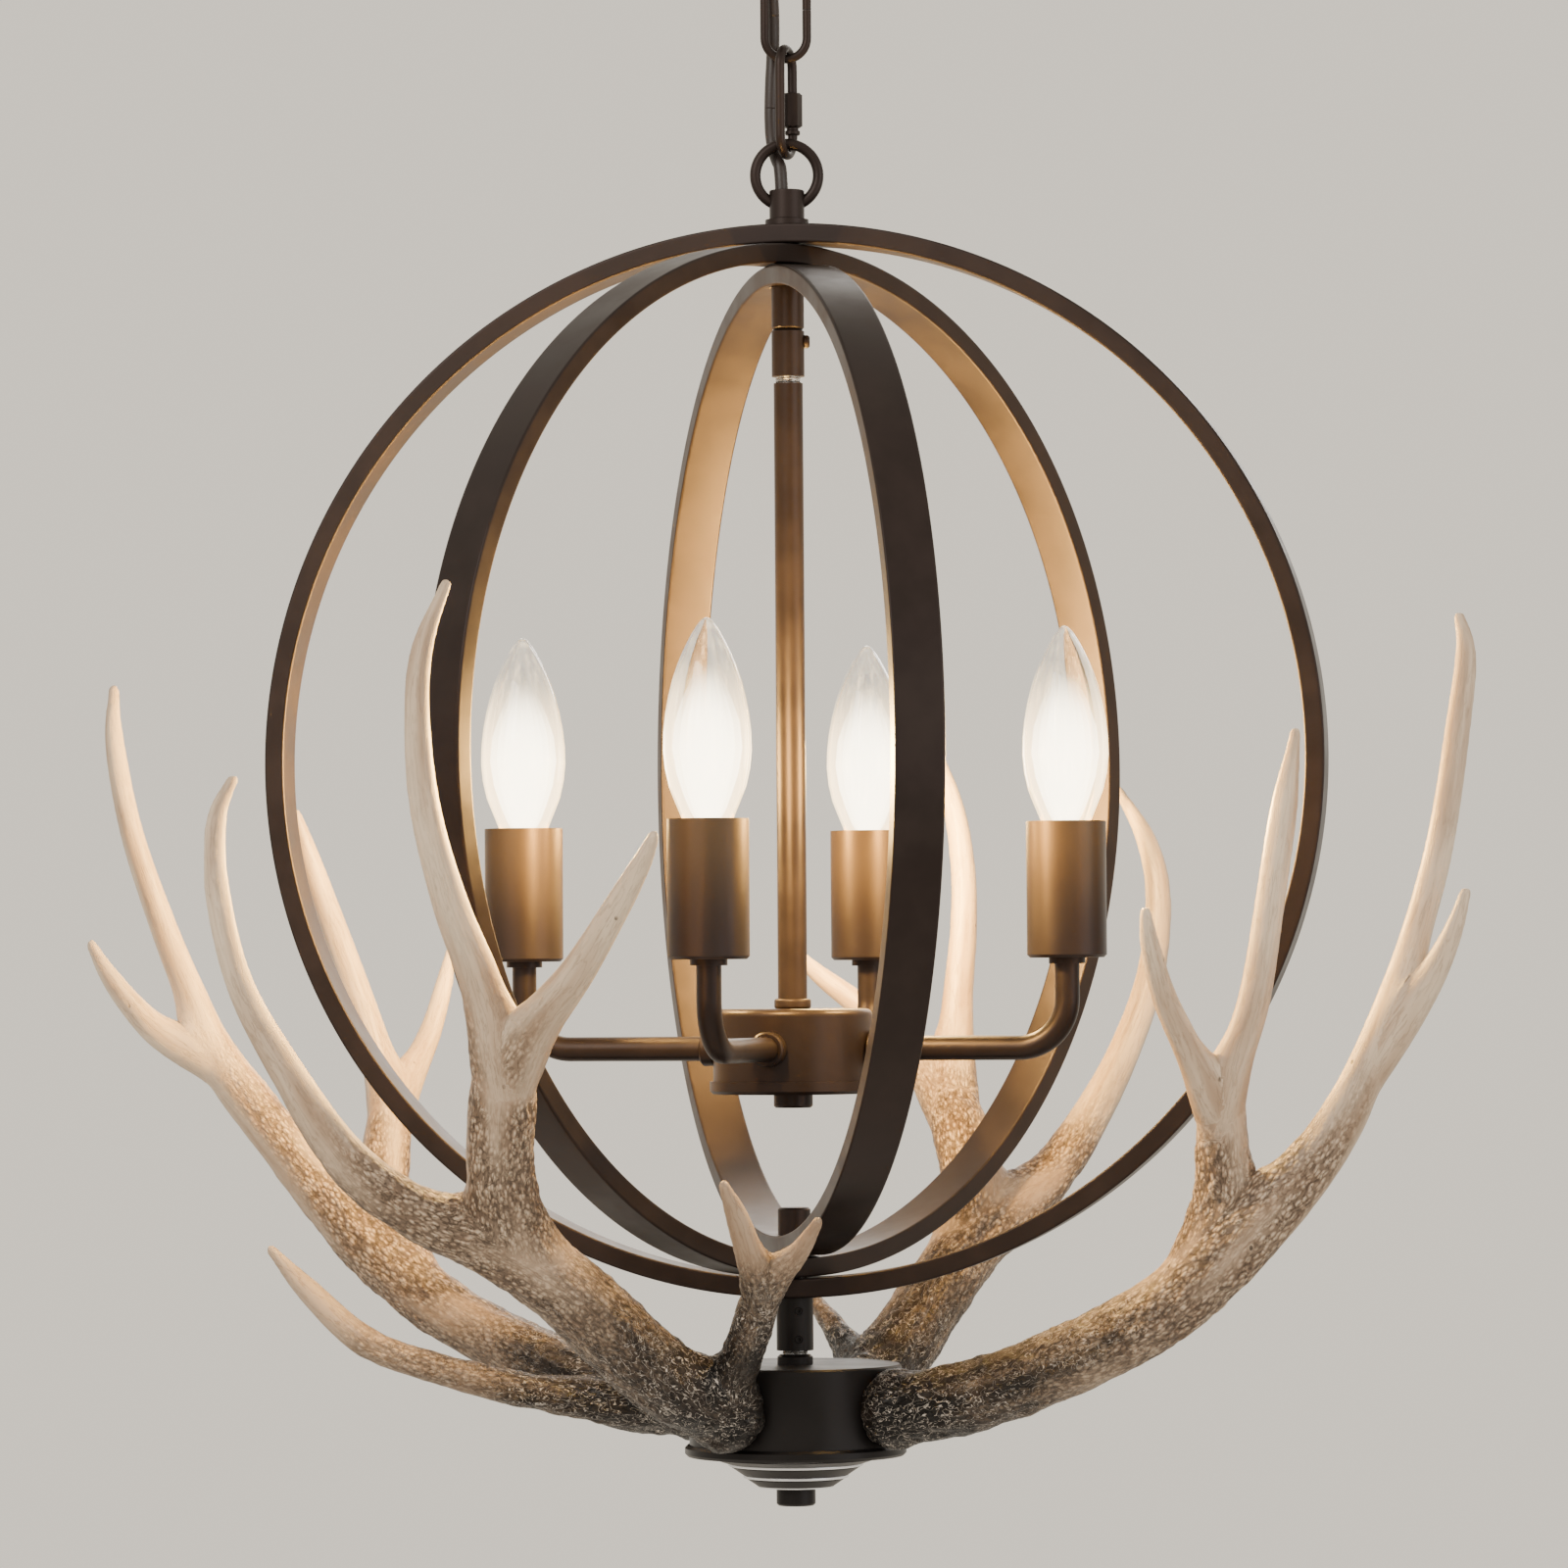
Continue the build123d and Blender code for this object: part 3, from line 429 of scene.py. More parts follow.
def finished_in(mesh, material):
    """The mesh shaded smooth and in this one material."""
    mesh.polygons.foreach_set("use_smooth", [True] * len(mesh.polygons))
    mesh.materials.clear()
    mesh.materials.append(material)
    return mesh


def mesh_object(name, points, faces, material):
    """A mesh object at the origin from points in metres."""
    mesh = bpy.data.meshes.new(name)
    mesh.from_pydata([tuple(point) for point in points], [], faces)
    mesh.validate()
    return linked(name, finished_in(mesh, material))


def turned(degrees, axis):
    return Matrix.Rotation(radians(degrees), 4, axis)


def level(degrees):
    """The level direction at this turn about the plumb line."""
    return Vector((cos(radians(degrees)), sin(radians(degrees)), 0))


def skinned(rows, looped):
    """Points and faces over rows of equally many points; looped joins the last row to the first."""
    steps = len(rows[0])
    points = [point for row in rows for point in row]
    faces = []
    for here in range(len(rows) if looped else len(rows) - 1):
        there = (here + 1) % len(rows)
        for k in range(steps):
            on = (k + 1) % steps
            low, high = here * steps, there * steps
            faces.append((low + k, low + on, high + on, high + k))
    if not looped:
        last = (len(rows) - 1) * steps
        faces.append(tuple(reversed(range(steps))))
        faces.append(tuple(range(last, last + steps)))
    return points, faces


def circle(radius, height, steps, centre=(0, 0)):
    """A level row of points round a plumb line."""
    turns = [2 * pi * k / steps for k in range(steps)]
    return [
        Vector((centre[0] + radius * cos(turn), centre[1] + radius * sin(turn), height))
        for turn in turns
    ]


def hexagon(across_flats, height, steps):
    """A level row of points round a hexagon that has a corner on the X axis."""
    row = []
    for k in range(steps):
        turn = 2 * pi * k / steps
        radius = across_flats / 2 / cos(turn % (pi / 3) - pi / 6)
        row.append(Vector((radius * cos(turn), radius * sin(turn), height)))
    return row


def turned_piece(name, rows, finish, looped=True, place=None, crease=CREASE):
    """A solid skinned over its rows, with faces outwards and edges kept sharp past the crease."""
    points, faces = skinned(rows, looped)
    if place is not None:
        points = [place @ point for point in points]
    made = mesh_object(name, points, faces, finish)
    turned_out(made)
    made.data.set_sharp_from_angle(angle=radians(crease))
    return made


def smooth_rows(rows, spacing):
    """A row of (x, y, z, radius) drawn through smoothly, with a point about every spacing."""
    rows = np.array(rows, float)
    ahead = 2 * rows[-1] - rows[-2]
    behind = 2 * rows[0] - rows[1]
    knots = np.vstack([behind, rows, ahead])
    drawn = []
    for before, here, there, after in zip(knots, knots[1:], knots[2:], knots[3:]):
        slope = there - before
        bend = 2 * before - 5 * here + 4 * there - after
        twist = 3 * here - before - 3 * there + after
        count = max(2, int(np.linalg.norm((there - here)[:3]) / spacing))
        for t in np.linspace(0, 1, count, endpoint=False):
            drawn.append(0.5 * (2 * here + slope * t + bend * t**2 + twist * t**3))
    drawn.append(rows[-1])
    drawn = np.array(drawn)
    thin = np.maximum(drawn[:, 3], THINNEST)
    drawn[:, 3] = thin + (BLUNTNESS - THINNEST) * np.exp(THINNEST - thin)
    return drawn


def domed(rows):
    """The rows with their last end drawn in to a dome."""
    end = rows[-1, :3]
    depth = rows[-1, 3]
    onward = end - rows[-2, :3]
    onward /= np.linalg.norm(onward)
    kept = rows[np.linalg.norm(rows[:, :3] - end, axis=1) > depth]
    dome = []
    for back in DOME_STEPS:
        radius = depth * np.sqrt(1 - (1 - back) ** 2)
        dome.append((*(end - onward * depth * back), radius))
    return np.vstack([kept, dome])


def carried_frames(centres):
    """Directions along a path and two more square to it, carried without twist."""
    along = np.gradient(centres, axis=0)
    along /= np.linalg.norm(along, axis=1)[:, None]
    side = np.cross(along[0], (0.31, 0.17, 0.93))
    sides = []
    for direction in along:
        side = side - direction * side.dot(direction)
        side /= np.linalg.norm(side)
        sides.append(side)
    sides = np.array(sides)
    return along, sides, np.cross(along, sides)


def tube(rows, steps):
    """A closed tube of changing radius along a row of (x, y, z, radius), round at both ends."""
    centres, radii = rows[:, :3], rows[:, 3]
    along, sides, ups = carried_frames(centres)
    turns = np.linspace(0, 2 * pi, steps, endpoint=False)[None, :, None]
    outward = sides[:, None] * np.cos(turns) + ups[:, None] * np.sin(turns)
    rings = centres[:, None] + radii[:, None, None] * outward
    points = [tuple(point) for ring in rings for point in ring]
    faces = []
    for start in range(0, (len(rows) - 1) * steps, steps):
        for k in range(steps):
            on = (k + 1) % steps
            faces.append((start + k, start + on, start + on + steps, start + k + steps))
    for row, reach, order in ((0, -1, -1), (len(rows) - 1, 1, 1)):
        tip = len(points)
        points.append(tuple(centres[row] + along[row] * radii[row] * 0.7 * reach))
        for k in range(steps):
            pair = (row * steps + k, row * steps + (k + 1) % steps)
            faces.append((*pair[::order], tip))
    return points, faces


# ---------------------------------------------------------------- what repeats or follows a path
class Recipe:
    """A Geometry Nodes tree with named inputs, ended by Realize Instances and Set Material."""

    def __init__(self, name, inputs):
        self.tree = bpy.data.node_groups.new(name, "GeometryNodeTree")
        face = self.tree.interface
        face.new_socket("Geometry", in_out="INPUT", socket_type="NodeSocketGeometry")
        face.new_socket("Geometry", in_out="OUTPUT", socket_type="NodeSocketGeometry")
        self.keys = {}
        for label, kind in (*inputs, ("Finish", "Material")):
            socket = face.new_socket(label, in_out="INPUT", socket_type="NodeSocket" + kind)
            self.keys[label] = socket.identifier
        self.given = self.tree.nodes.new("NodeGroupInput").outputs
        self.result = self.tree.nodes.new("NodeGroupOutput").inputs

    def node(self, kind, inputs):
        made = self.tree.nodes.new(kind)
        for name, given in inputs.items():
            if isinstance(given, bpy.types.NodeSocket):
                self.tree.links.new(given, made.inputs[name])
            else:
                made.inputs[name].default_value = given
        return made.outputs

    def close(self, geometry):
        real = self.node("GeometryNodeRealizeInstances", {"Geometry": geometry})["Geometry"]
        finish = {"Geometry": real, "Material": self.given["Finish"]}
        painted = self.node("GeometryNodeSetMaterial", finish)
        self.tree.links.new(painted["Geometry"], self.result["Geometry"])

    def made_from(self, source, name, values):
        """Run the tree on an object and keep what comes out as a plain mesh of its own."""
        modifier = source.modifiers.new(self.tree.name, "NODES")
        modifier.node_group = self.tree
        for label, value in values.items():
            modifier[self.keys[label]] = value
        mesh = settled_mesh(source)
        source.modifiers.remove(modifier)
        bpy.data.objects.remove(source)
        mesh.name = name
        return linked(name, mesh)


def wire_recipe():
    """Round wire along the edges of a path: Radius of the wire, Sides round it."""
    recipe = Recipe("round_wire", (("Radius", "Float"), ("Sides", "Int")))
    given = recipe.given
    path = recipe.node("GeometryNodeMeshToCurve", {"Mesh": given["Geometry"]})
    round_way = {"Resolution": given["Sides"], "Radius": given["Radius"]}
    section = recipe.node("GeometryNodeCurvePrimitiveCircle", round_way)
    swept = {"Curve": path["Curve"], "Profile Curve": section["Curve"], "Fill Caps": True}
    wire = recipe.node("GeometryNodeCurveToMesh", swept)
    smooth = recipe.node("GeometryNodeSetShadeSmooth", {"Geometry": wire["Mesh"]})
    recipe.close(smooth["Geometry"])
    return recipe


def row_recipe():
    """Copies of a Pattern in a row: Count of them, the Start of the row and the Step between."""
    kinds = (("Pattern", "Object"), ("Count", "Int"), ("Start", "Vector"), ("Step", "Vector"))
    recipe = Recipe("row_of_copies", kinds)
    given = recipe.given
    row = {"Count": given["Count"], "Start Location": given["Start"], "Offset": given["Step"]}
    places = recipe.node("GeometryNodeMeshLine", row)
    pattern = recipe.node("GeometryNodeObjectInfo", {"Object": given["Pattern"]})
    copied = {"Points": places["Mesh"], "Instance": pattern["Geometry"]}
    copies = recipe.node("GeometryNodeInstanceOnPoints", copied)
    recipe.close(copies["Instances"])
    return recipe


def drawn_path(name, points, closed):
    """A path of edges through points in metres."""
    count = len(points)
    edges = [(k, k + 1) for k in range(count - 1)]
    if closed:
        edges.append((count - 1, 0))
    mesh = bpy.data.meshes.new(name)
    mesh.from_pydata([tuple(point) for point in points], edges, [])
    return linked(name, mesh)


def bent_wire(recipe, name, points, wire, sides, finish, closed=True):
    """A piece of round wire along a path, with its faces turned outwards."""
    source = drawn_path(name + "_path", points, closed)
    made = recipe.made_from(source, name, {"Radius": wire / 2, "Sides": sides, "Finish": finish})
    turned_out(made)
    return made


def turned_out(piece):
    """Weld a piece's seams and turn its faces outwards."""
    shape = bmesh.new()
    shape.from_mesh(piece.data)
    bmesh.ops.remove_doubles(shape, verts=shape.verts, dist=1e-6)
    bmesh.ops.recalc_face_normals(shape, faces=shape.faces)
    shape.to_mesh(piece.data)
    shape.free()


def joined(name, pieces):
    """One object from several at the origin that share a finish."""
    points, faces = [], []
    for piece in pieces:
        base = len(points)
        points += [vertex.co.copy() for vertex in piece.data.vertices]
        faces += [tuple(base + k for k in face.vertices) for face in piece.data.polygons]
    made = mesh_object(name, points, faces, pieces[0].data.materials[0])
    made.data.set_sharp_from_angle(angle=radians(CREASE))
    for piece in pieces:
        bpy.data.objects.remove(piece)
    return made


def goes_with(piece, body):
    """Let a piece move with a body."""
    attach(piece, body)


def stand_for(piece, node, body):
    """Let a piece stand for a node of the frame and move with its body."""
    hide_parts(node)
    goes_with(piece, body)


def link_path(length, width, wire, top, turn, gap=None):
    """The middle line of a link: two straight legs and two half-round ends, top end first."""
    bend = (width - wire) / 2
    upper, lower = top - bend, top - (length - wire) + bend
    rounds = [pi * k / 24 for k in range(25)]
    path = [(bend * cos(angle), upper + bend * sin(angle)) for angle in rounds]
    path += [(-bend * cos(angle), lower - bend * sin(angle)) for angle in rounds]
    if gap:
        path = [(bend, gap[1]), *path, (bend, gap[0])]
    return [level(turn) * flat + Vector((0, 0, height)) for flat, height in path]


def rounded(corners, radius, rim=0.35):
    """A closed outline with its corners rounded, and a row beside each round to hold the flats."""
    outline = []
    count = len(corners)
    for k, corner in enumerate(corners):
        here = Vector(corner)
        to_last = (Vector(corners[k - 1]) - here).normalized()
        to_next = (Vector(corners[(k + 1) % count]) - here).normalized()
        start, end = here + to_last * radius, here + to_next * radius
        outline.append(start + to_last * radius * rim)
        for share in (0.0, 0.25, 0.5, 0.75, 1.0):
            first = start.lerp(here, share)
            outline.append(first.lerp(here.lerp(end, share), share))
        outline.append(end + to_next * radius * rim)
    return [tuple(point) for point in outline]


# ---------------------------------------------------------------- antlers
# Each antler is a set of tapered branches: rows of (x, y, z, radius) in millimetres, from where
# the branch grows to its tip, z counted from the antler's axis at the canister.
ANTLERS = {
    "front_right": (
        ((36, -26, 0, 13), (57, -42, 3, 15), (98, -75, 17, 14.5), (140, -104, 40, 14.5),
         (173, -124, 70, 14), (209, -134, 111, 10.5), (233, -135, 164, 7), (251, -131, 218, 5.6),
         (261, -127, 274, 5), (264, -126, 300, 4), (261, -126, 316, 1.4)),
        ((219, -134, 128, 7.5), (236, -140, 153, 6.5), (248, -145, 173, 5), (256, -149, 192, 3.6),
         (261, -150, 208, 1.4)),
        ((153, -111, 50, 12.5), (165, -121, 82, 11.5), (167, -130, 108, 10.5),
         (165, -136, 130, 9.5)),
        ((166, -133, 116, 9), (154, -147, 143, 6.2), (143, -159, 166, 5), (137, -168, 187, 3.8),
         (135, -171, 201, 1.4)),
        ((165, -134, 116, 9), (172, -140, 143, 7.5), (179, -143, 166, 6.8), (186, -141, 206, 6),
         (192, -137, 242, 5), (197, -132, 271, 1.4)),
    ),
    "front_left": (
        ((-21, -31, 0, 13), (-37, -50, 5, 15), (-60, -73, 22, 16), (-93, -104, 55, 15.5),
         (-121, -122, 73, 13.5), (-145, -133, 83, 11), (-172, -143, 104, 9.8),
         (-196, -148, 140, 7.3), (-214, -148, 174, 5.5), (-223, -145, 212, 4.8),
         (-223, -142, 238, 3.8), (-216, -140, 255, 1.4)),
        ((-84, -95, 45, 14), (-106, -117, 72, 14), (-114, -137, 97, 13.5),
         (-113, -152, 124, 13.5), (-111, -160, 145, 12)),
        ((-112, -158, 134, 11.5), (-119, -171, 171, 9), (-130, -182, 202, 7.5),
         (-139, -190, 238, 6.2), (-142, -195, 272, 5), (-140, -197, 300, 4.3),
         (-130, -196, 327, 1.4)),
        ((-109, -158, 135, 10.5), (-97, -176, 158, 9.5), (-82, -193, 177, 7.6),
         (-66, -209, 202, 5.5), (-56, -219, 219, 3.6), (-51, -224, 230, 1.4)),
        ((-31, -41, 1, 10), (-24, -58, 16, 9.4), (-16, -84, 41, 8.6), (-13, -98, 54, 7)),
        ((-13, -93, 46, 7), (-18, -117, 66, 5.8), (-23, -137, 83, 4.4), (-28, -151, 96, 1.4)),
        ((-13, -93, 46, 6.8), (-6, -108, 58, 5.4), (2, -123, 68, 4.2), (10, -140, 81, 1.4)),
    ),
    "back_left": (
        ((-30, 23, 0, 13), (-62, 47, 0, 14.5), (-92, 66, 8, 13.6), (-142, 93, 31, 13.2),
         (-180, 108, 60, 12.8), (-215, 121, 100, 11.5), (-246, 130, 140, 9.8),
         (-258, 131, 167, 7.5), (-271, 129, 200, 6), (-284, 127, 240, 5.1), (-291, 126, 278, 4.2),
         (-291, 126, 303, 1.4)),
        ((-240, 129, 134, 8.5), (-269, 128, 150, 7), (-284, 126, 165, 5.5), (-295, 125, 180, 3.8),
         (-302, 124, 193, 1.4)),
        ((-50, 35, -2, 10.5), (-87, 40, 0, 9), (-120, 44, 5, 7.8), (-157, 56, 14, 7),
         (-182, 64, 24, 6.6), (-206, 72, 46, 4.8), (-222, 78, 63, 1.4)),
        ((-158, 102, 42, 12), (-175, 124, 74, 12), (-176, 141, 101, 11), (-174, 152, 122, 9.8)),
        ((-175, 148, 113, 9.5), (-180, 158, 140, 8), (-190, 167, 171, 6.6), (-205, 172, 212, 5.4),
         (-213, 172, 236, 4), (-217, 172, 250, 1.4)),
        ((-174, 148, 113, 8.8), (-165, 169, 136, 6.6), (-158, 182, 154, 5), (-153, 194, 174, 3.7),
         (-150, 202, 190, 1.4)),
    ),
    "back_right": (
        ((20, 33, 0, 13), (36, 56, 7, 15), (57, 89, 36, 15), (75, 116, 60, 15),
         (93, 134, 74, 13.3), (112, 150, 89, 10.8), (128, 162, 111, 9.3), (145, 173, 142, 7.6),
         (157, 180, 174, 6.6), (161, 184, 208, 5.8), (156, 186, 234, 4.4), (143, 188, 258, 1.4)),
        ((66, 102, 47, 13), (76, 128, 79, 13.5), (74, 147, 103, 13), (69, 161, 122, 11.5)),
        ((70, 158, 114, 11), (71, 174, 142, 9.2), (73, 187, 167, 7.3), (76, 197, 196, 6.4),
         (76, 204, 224, 5.7), (71, 209, 254, 4.4), (58, 213, 290, 1.4)),
        ((68, 157, 113, 10), (58, 175, 133, 8.8), (45, 189, 148, 7.2), (30, 202, 162, 5.8),
         (12, 213, 176, 4.2), (-4, 222, 191, 1.4)),
        ((29, 44, 0, 9.5), (24, 66, 14, 7.2), (18, 86, 25, 5.6), (10, 104, 35, 3.8),
         (-1, 120, 46, 1.4)),
    ),
}
# A tip's radius in the rows above and as it is drawn, and a dome's rows back from its end, as
# shares of its depth.
THINNEST, BLUNTNESS = 1.4, 2.4
DOME_STEPS = (0.95, 0.6, 0.3, 0.1, 0.01)
# The burr's reach out of the canister and its radius, and how near two branches fill their fork.
BURR = ((-6, 12.0), (0, 14.2), (5, 17.2), (10, 17.0), (15, 14.4))
FORK_REACH = 14.0
# Sizes in millimetres of the bark's lumps and of its smooth strips, how much longer than wide
# each is, and how often a metre the bark comes and goes.
LUMP_SIZE, LUMP_STRETCH = 4.6, 0.42
STRIP_SIZE, STRIP_STRETCH = 12.0, 0.16
PATCHES = 30.0
BATCH = 4000  # points read at a time

CANISTER_LOW, CANISTER_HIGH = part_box("base_canister")
CANISTER_RADIUS = CANISTER_HIGH.x
ANTLER_ROOT = Vector((0, 0, CANISTER_HIGH.z - 16.4 * MM))  # where the antlers' axes meet
PLATE_LOW, PLATE_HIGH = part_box("base_plate")
SEAT_GAP = 0.1 * MM
BURR_RISE = 4 * MM  # how far above the canister the burrs still keep clear of it


def eased(low, high, values):
    """0 at low, 1 at high, smooth between."""
    share = np.clip((values - low) / (high - low), 0, 1)
    return share * share * (3 - 2 * share)


class Grown:
    """The branches of one antler as smooth rows, each with its distance from the foot."""

    def __init__(self, side, spacing):
        rows = [list(branch) for branch in ANTLERS[side]]
        foot = np.array(rows[0][0][:2], float)
        outward = foot / np.linalg.norm(foot)
        canister = CANISTER_RADIUS / MM
        burr = [(*(outward * (canister + reach)), rows[0][0][2], radius) for reach, radius in BURR]
        self.branches = [domed(smooth_rows(row, spacing)) for row in rows]
        self.branches.append(smooth_rows(burr, spacing))
        self.reaches = []
        for place, branch in enumerate(self.branches):
            steps = np.linalg.norm(np.diff(branch[:, :3], axis=0), axis=1)
            reach = np.concatenate([[0], np.cumsum(steps)])
            if 0 < place < len(rows):
                trunk = np.vstack(self.branches[:place])
                nearest = np.linalg.norm(trunk[:, :3] - branch[0, :3], axis=1).argmin()
                reach = reach + np.concatenate(self.reaches)[nearest]
            self.reaches.append(reach)
        self.longest = max(reach[-1] for reach in self.reaches)

    def solid(self, steps):
        points, faces = [], []
        for branch in self.branches:
            more, around = tube(branch, steps)
            faces += [tuple(k + len(points) for k in face) for face in around]
            points += more
        return points, faces

    def read(self, points):
        """For each point: its place across and along its branch, its share of the way from the
        foot, the branch's radius, the fork's fill, and 0 to 1 for how much it is on one branch."""
        gaps = np.zeros((len(self.branches), len(points)))
        ways = np.zeros((len(self.branches), len(points), 3))
        best = np.full(len(points), np.inf)
        other = best.copy()
        grain = np.zeros((len(points), 3))
        reach = np.zeros(len(points))
        girth = np.zeros(len(points))
        for place, (branch, reaches) in enumerate(zip(self.branches, self.reaches)):
            along, sides, ups = carried_frames(branch[:, :3])
            for start in range(0, len(points), BATCH):
                some = slice(start, start + BATCH)
                apart = points[some, None] - branch[None, :, :3]
                near = (np.linalg.norm(apart, axis=2) / branch[None, :, 3]).argmin(axis=1)
                offset = apart[np.arange(len(near)), near]
                far = np.linalg.norm(offset, axis=1)
                gaps[place, some] = far - branch[near, 3]
                ways[place, some] = offset / np.maximum(far, 1e-6)[:, None]
                score = far / branch[near, 3]
                across = np.einsum("ij,ij->i", offset, sides[near])
                upward = np.einsum("ij,ij->i", offset, ups[near])
                onward = np.einsum("ij,ij->i", offset, along[near]) + reaches[near]
                better = score < best[some]
                if place < len(self.branches) - 1:
                    other[some] = np.where(better, best[some], np.minimum(other[some], score))
                best[some] = np.where(better, score, best[some])
                found = np.stack([across, upward, onward], axis=1)
                grain[some] = np.where(better[:, None], found, grain[some])
                reach[some] = np.where(better, reaches[near], reach[some])
                girth[some] = np.where(better, branch[near, 3], girth[some])
        whole = eased(0.0, 0.14, other - best)
        return grain, reach / self.longest, girth, fork_fill(gaps[:-1], ways[:-1]), whole


def fork_fill(gaps, ways):
    """How far the skin fills out, in millimetres, where two branches part from each other."""
    fill = np.zeros(gaps.shape[1])
    for first in range(len(gaps)):
        for second in range(first):
            apart = abs(gaps[first]) + abs(gaps[second])
            close = np.clip(1 - apart / FORK_REACH, 0, 1)
            parting = 1 - np.einsum("ij,ij->i", ways[first], ways[second])
            fill = np.maximum(fill, close**2 * parting * FORK_REACH / 4)
    return fill


def softened(values, edges, share, rounds):
    """Columns of values drawn towards their neighbours' middle, most where the share is high."""
    near, far = edges.T
    size = len(values)
    count = np.bincount(edges.ravel(), minlength=size)
    for _ in range(rounds):
        middle = np.empty_like(values)
        for column in range(values.shape[1]):
            total = np.bincount(near, values[far, column], size)
            total += np.bincount(far, values[near, column], size)
            middle[:, column] = total / count
        values = values + (middle - values) * share[:, None]
    return values


def remeshed(name, points, faces, voxel, material):
    """One closed skin round overlapping closed forms."""
    core = mesh_object(name + "_core", points, faces, material)
    cover = core.modifiers.new("cover", "REMESH")
    cover.mode = "VOXEL"
    cover.voxel_size = voxel
    melt = core.modifiers.new("melt", "CORRECTIVE_SMOOTH")
    melt.factor = 0.6
    melt.iterations = 5
    melt.use_only_smooth = True
    mesh = settled_mesh(core)
    bpy.data.objects.remove(core)
    return linked(name, mesh)


def listed(items, key, width, kind):
    """One attribute of every vertex or edge, as rows of this width."""
    values = np.zeros(len(items) * width, kind)
    items.foreach_get(key, values)
    return values.reshape(-1, width)


def keep_on_points(mesh, kind, key, given):
    """Store a named attribute on the mesh's points for the finish to read."""
    for name, values in given.items():
        kept = mesh.attributes.new(name, kind, "POINT")
        kept.data.foreach_set(key, values.astype(np.float32).ravel())


def grown_antler(side, settings, material):
    """The antler's skin, with lumps pushed out along its bark and its pattern kept on it."""
    grown = Grown(side, settings.spacing)
    points, faces = grown.solid(settings.sides)
    placed = [Vector(point) * MM + ANTLER_ROOT for point in points]
    made = remeshed("antler_skin_" + side, placed, faces, settings.voxel * MM, material)
    mesh = made.data
    here = listed(mesh.vertices, "co", 3, np.float32).astype(float)
    outward = listed(mesh.vertices, "normal", 3, np.float32)
    edges = listed(mesh.edges, "vertices", 2, np.int32)
    grain, age, girth, fill, whole = grown.read((here - np.array(ANTLER_ROOT)) / MM)

    # Where the bark is rough: thick branches, away from the tips, in strips and patches.
    patch = np.array([noise.noise(Vector(point) * PATCHES) for point in here])
    slim = grain * np.array([1.0, 1.0, STRIP_STRETCH])
    strip = np.array([noise.noise(Vector(point) / STRIP_SIZE) for point in slim])
    rough = eased(6.0, 12.5, girth + 2.0 * patch) * eased(0.84, 0.42, age + 0.14 * patch)
    rough *= (0.08 + 0.92 * eased(-0.34, 0.12, strip)) * (0.5 + 0.5 * whole)
    rough = np.maximum(rough, eased(0.40, 0.12, age + 0.10 * patch))
    fields = np.stack([rough, strip, age], axis=1)
    rough, strip, age = softened(fields, edges, np.full(len(here), 0.9), 24).T

    # The fork's web, evened out, and then the lumps, all in millimetres.
    slim = grain * np.array([1.0, 1.0, LUMP_STRETCH])
    lumps = np.array([noise.fractal(Vector(point) / LUMP_SIZE, 0.9, 2.1, 3) for point in slim])
    push = lumps * rough * settings.lumps + strip * (0.9 + 0.4 * rough) * eased(1.5, 6.0, girth)
    here += outward * (fill * MM)[:, None]
    here = softened(here, edges, 0.6 * eased(5.0, 9.0, girth), 40)
    here += outward * (push * MM)[:, None]
    here = np.clip(clear_of_canister(here), *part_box("antler_" + side))

    mesh.vertices.foreach_set("co", here.astype(np.float32).ravel())
    fields = {"age": age, "rough": rough, "lump": 0.5 + lumps * 0.5, "whole": whole}
    keep_on_points(mesh, "FLOAT", "value", fields)
    keep_on_points(mesh, "FLOAT_VECTOR", "vector", {"grain": grain * MM})
    finished_in(mesh, material)
    mesh.update()
    return made


def clear_of_canister(points):
    """Points that would be inside the canister or its plate, moved out to their faces."""
    flat = np.linalg.norm(points[:, :2], axis=1)
    for radius, low, high in (
        (CANISTER_RADIUS + SEAT_GAP, CANISTER_LOW.z, CANISTER_HIGH.z + BURR_RISE),
        (PLATE_HIGH.x + SEAT_GAP, PLATE_LOW.z, PLATE_HIGH.z + SEAT_GAP),
    ):
        inside = (flat < radius) & (points[:, 2] > low) & (points[:, 2] < high)
        factor = np.where(inside, radius / np.maximum(flat, 1e-6), 1.0)
        points[:, :2] *= factor[:, None]
        flat = np.linalg.norm(points[:, :2], axis=1)
    return points


# ---------------------------------------------------------------- settings
def colour(name, text, value):
    opaque = {"default": (*value, 1.0), "size": 4, "min": 0, "max": 1}
    return FloatVectorProperty(name=name, description=text, subtype="COLOR", **opaque)


def number(name, text, value, least=0.0, **more):
    return FloatProperty(name=name, description=text, default=value, min=least, **more)


def metres(name, text, value, least=0.0):
    return number(name, text, value, least, unit="LENGTH")


class MetalSettings(bpy.types.PropertyGroup):
    bronze: colour("Bronze", "Paint of the rings, arms and sleeves", (0.026, 0.0175, 0.0152))
    black: colour("Black bronze", "Paint of the canister and lower pole", (0.0125, 0.0108, 0.0108))
    # Painted light: the lamp-lit colour painted onto the tops of the candle sleeves.
    warm: colour("Warm", "Top of the candle sleeves, by the lamps", (0.11, 0.07, 0.038))
    plated: colour("Plated", "Threaded tubes and bright rims", (0.80, 0.79, 0.77))
    roughness: number("Roughness", "How dull the paint is", 0.38, 0.05, max=1.0)
    pitch: number("Thread pitch", "Ridge to ridge, in millimetres", 1.0, 0.3, max=3.0)


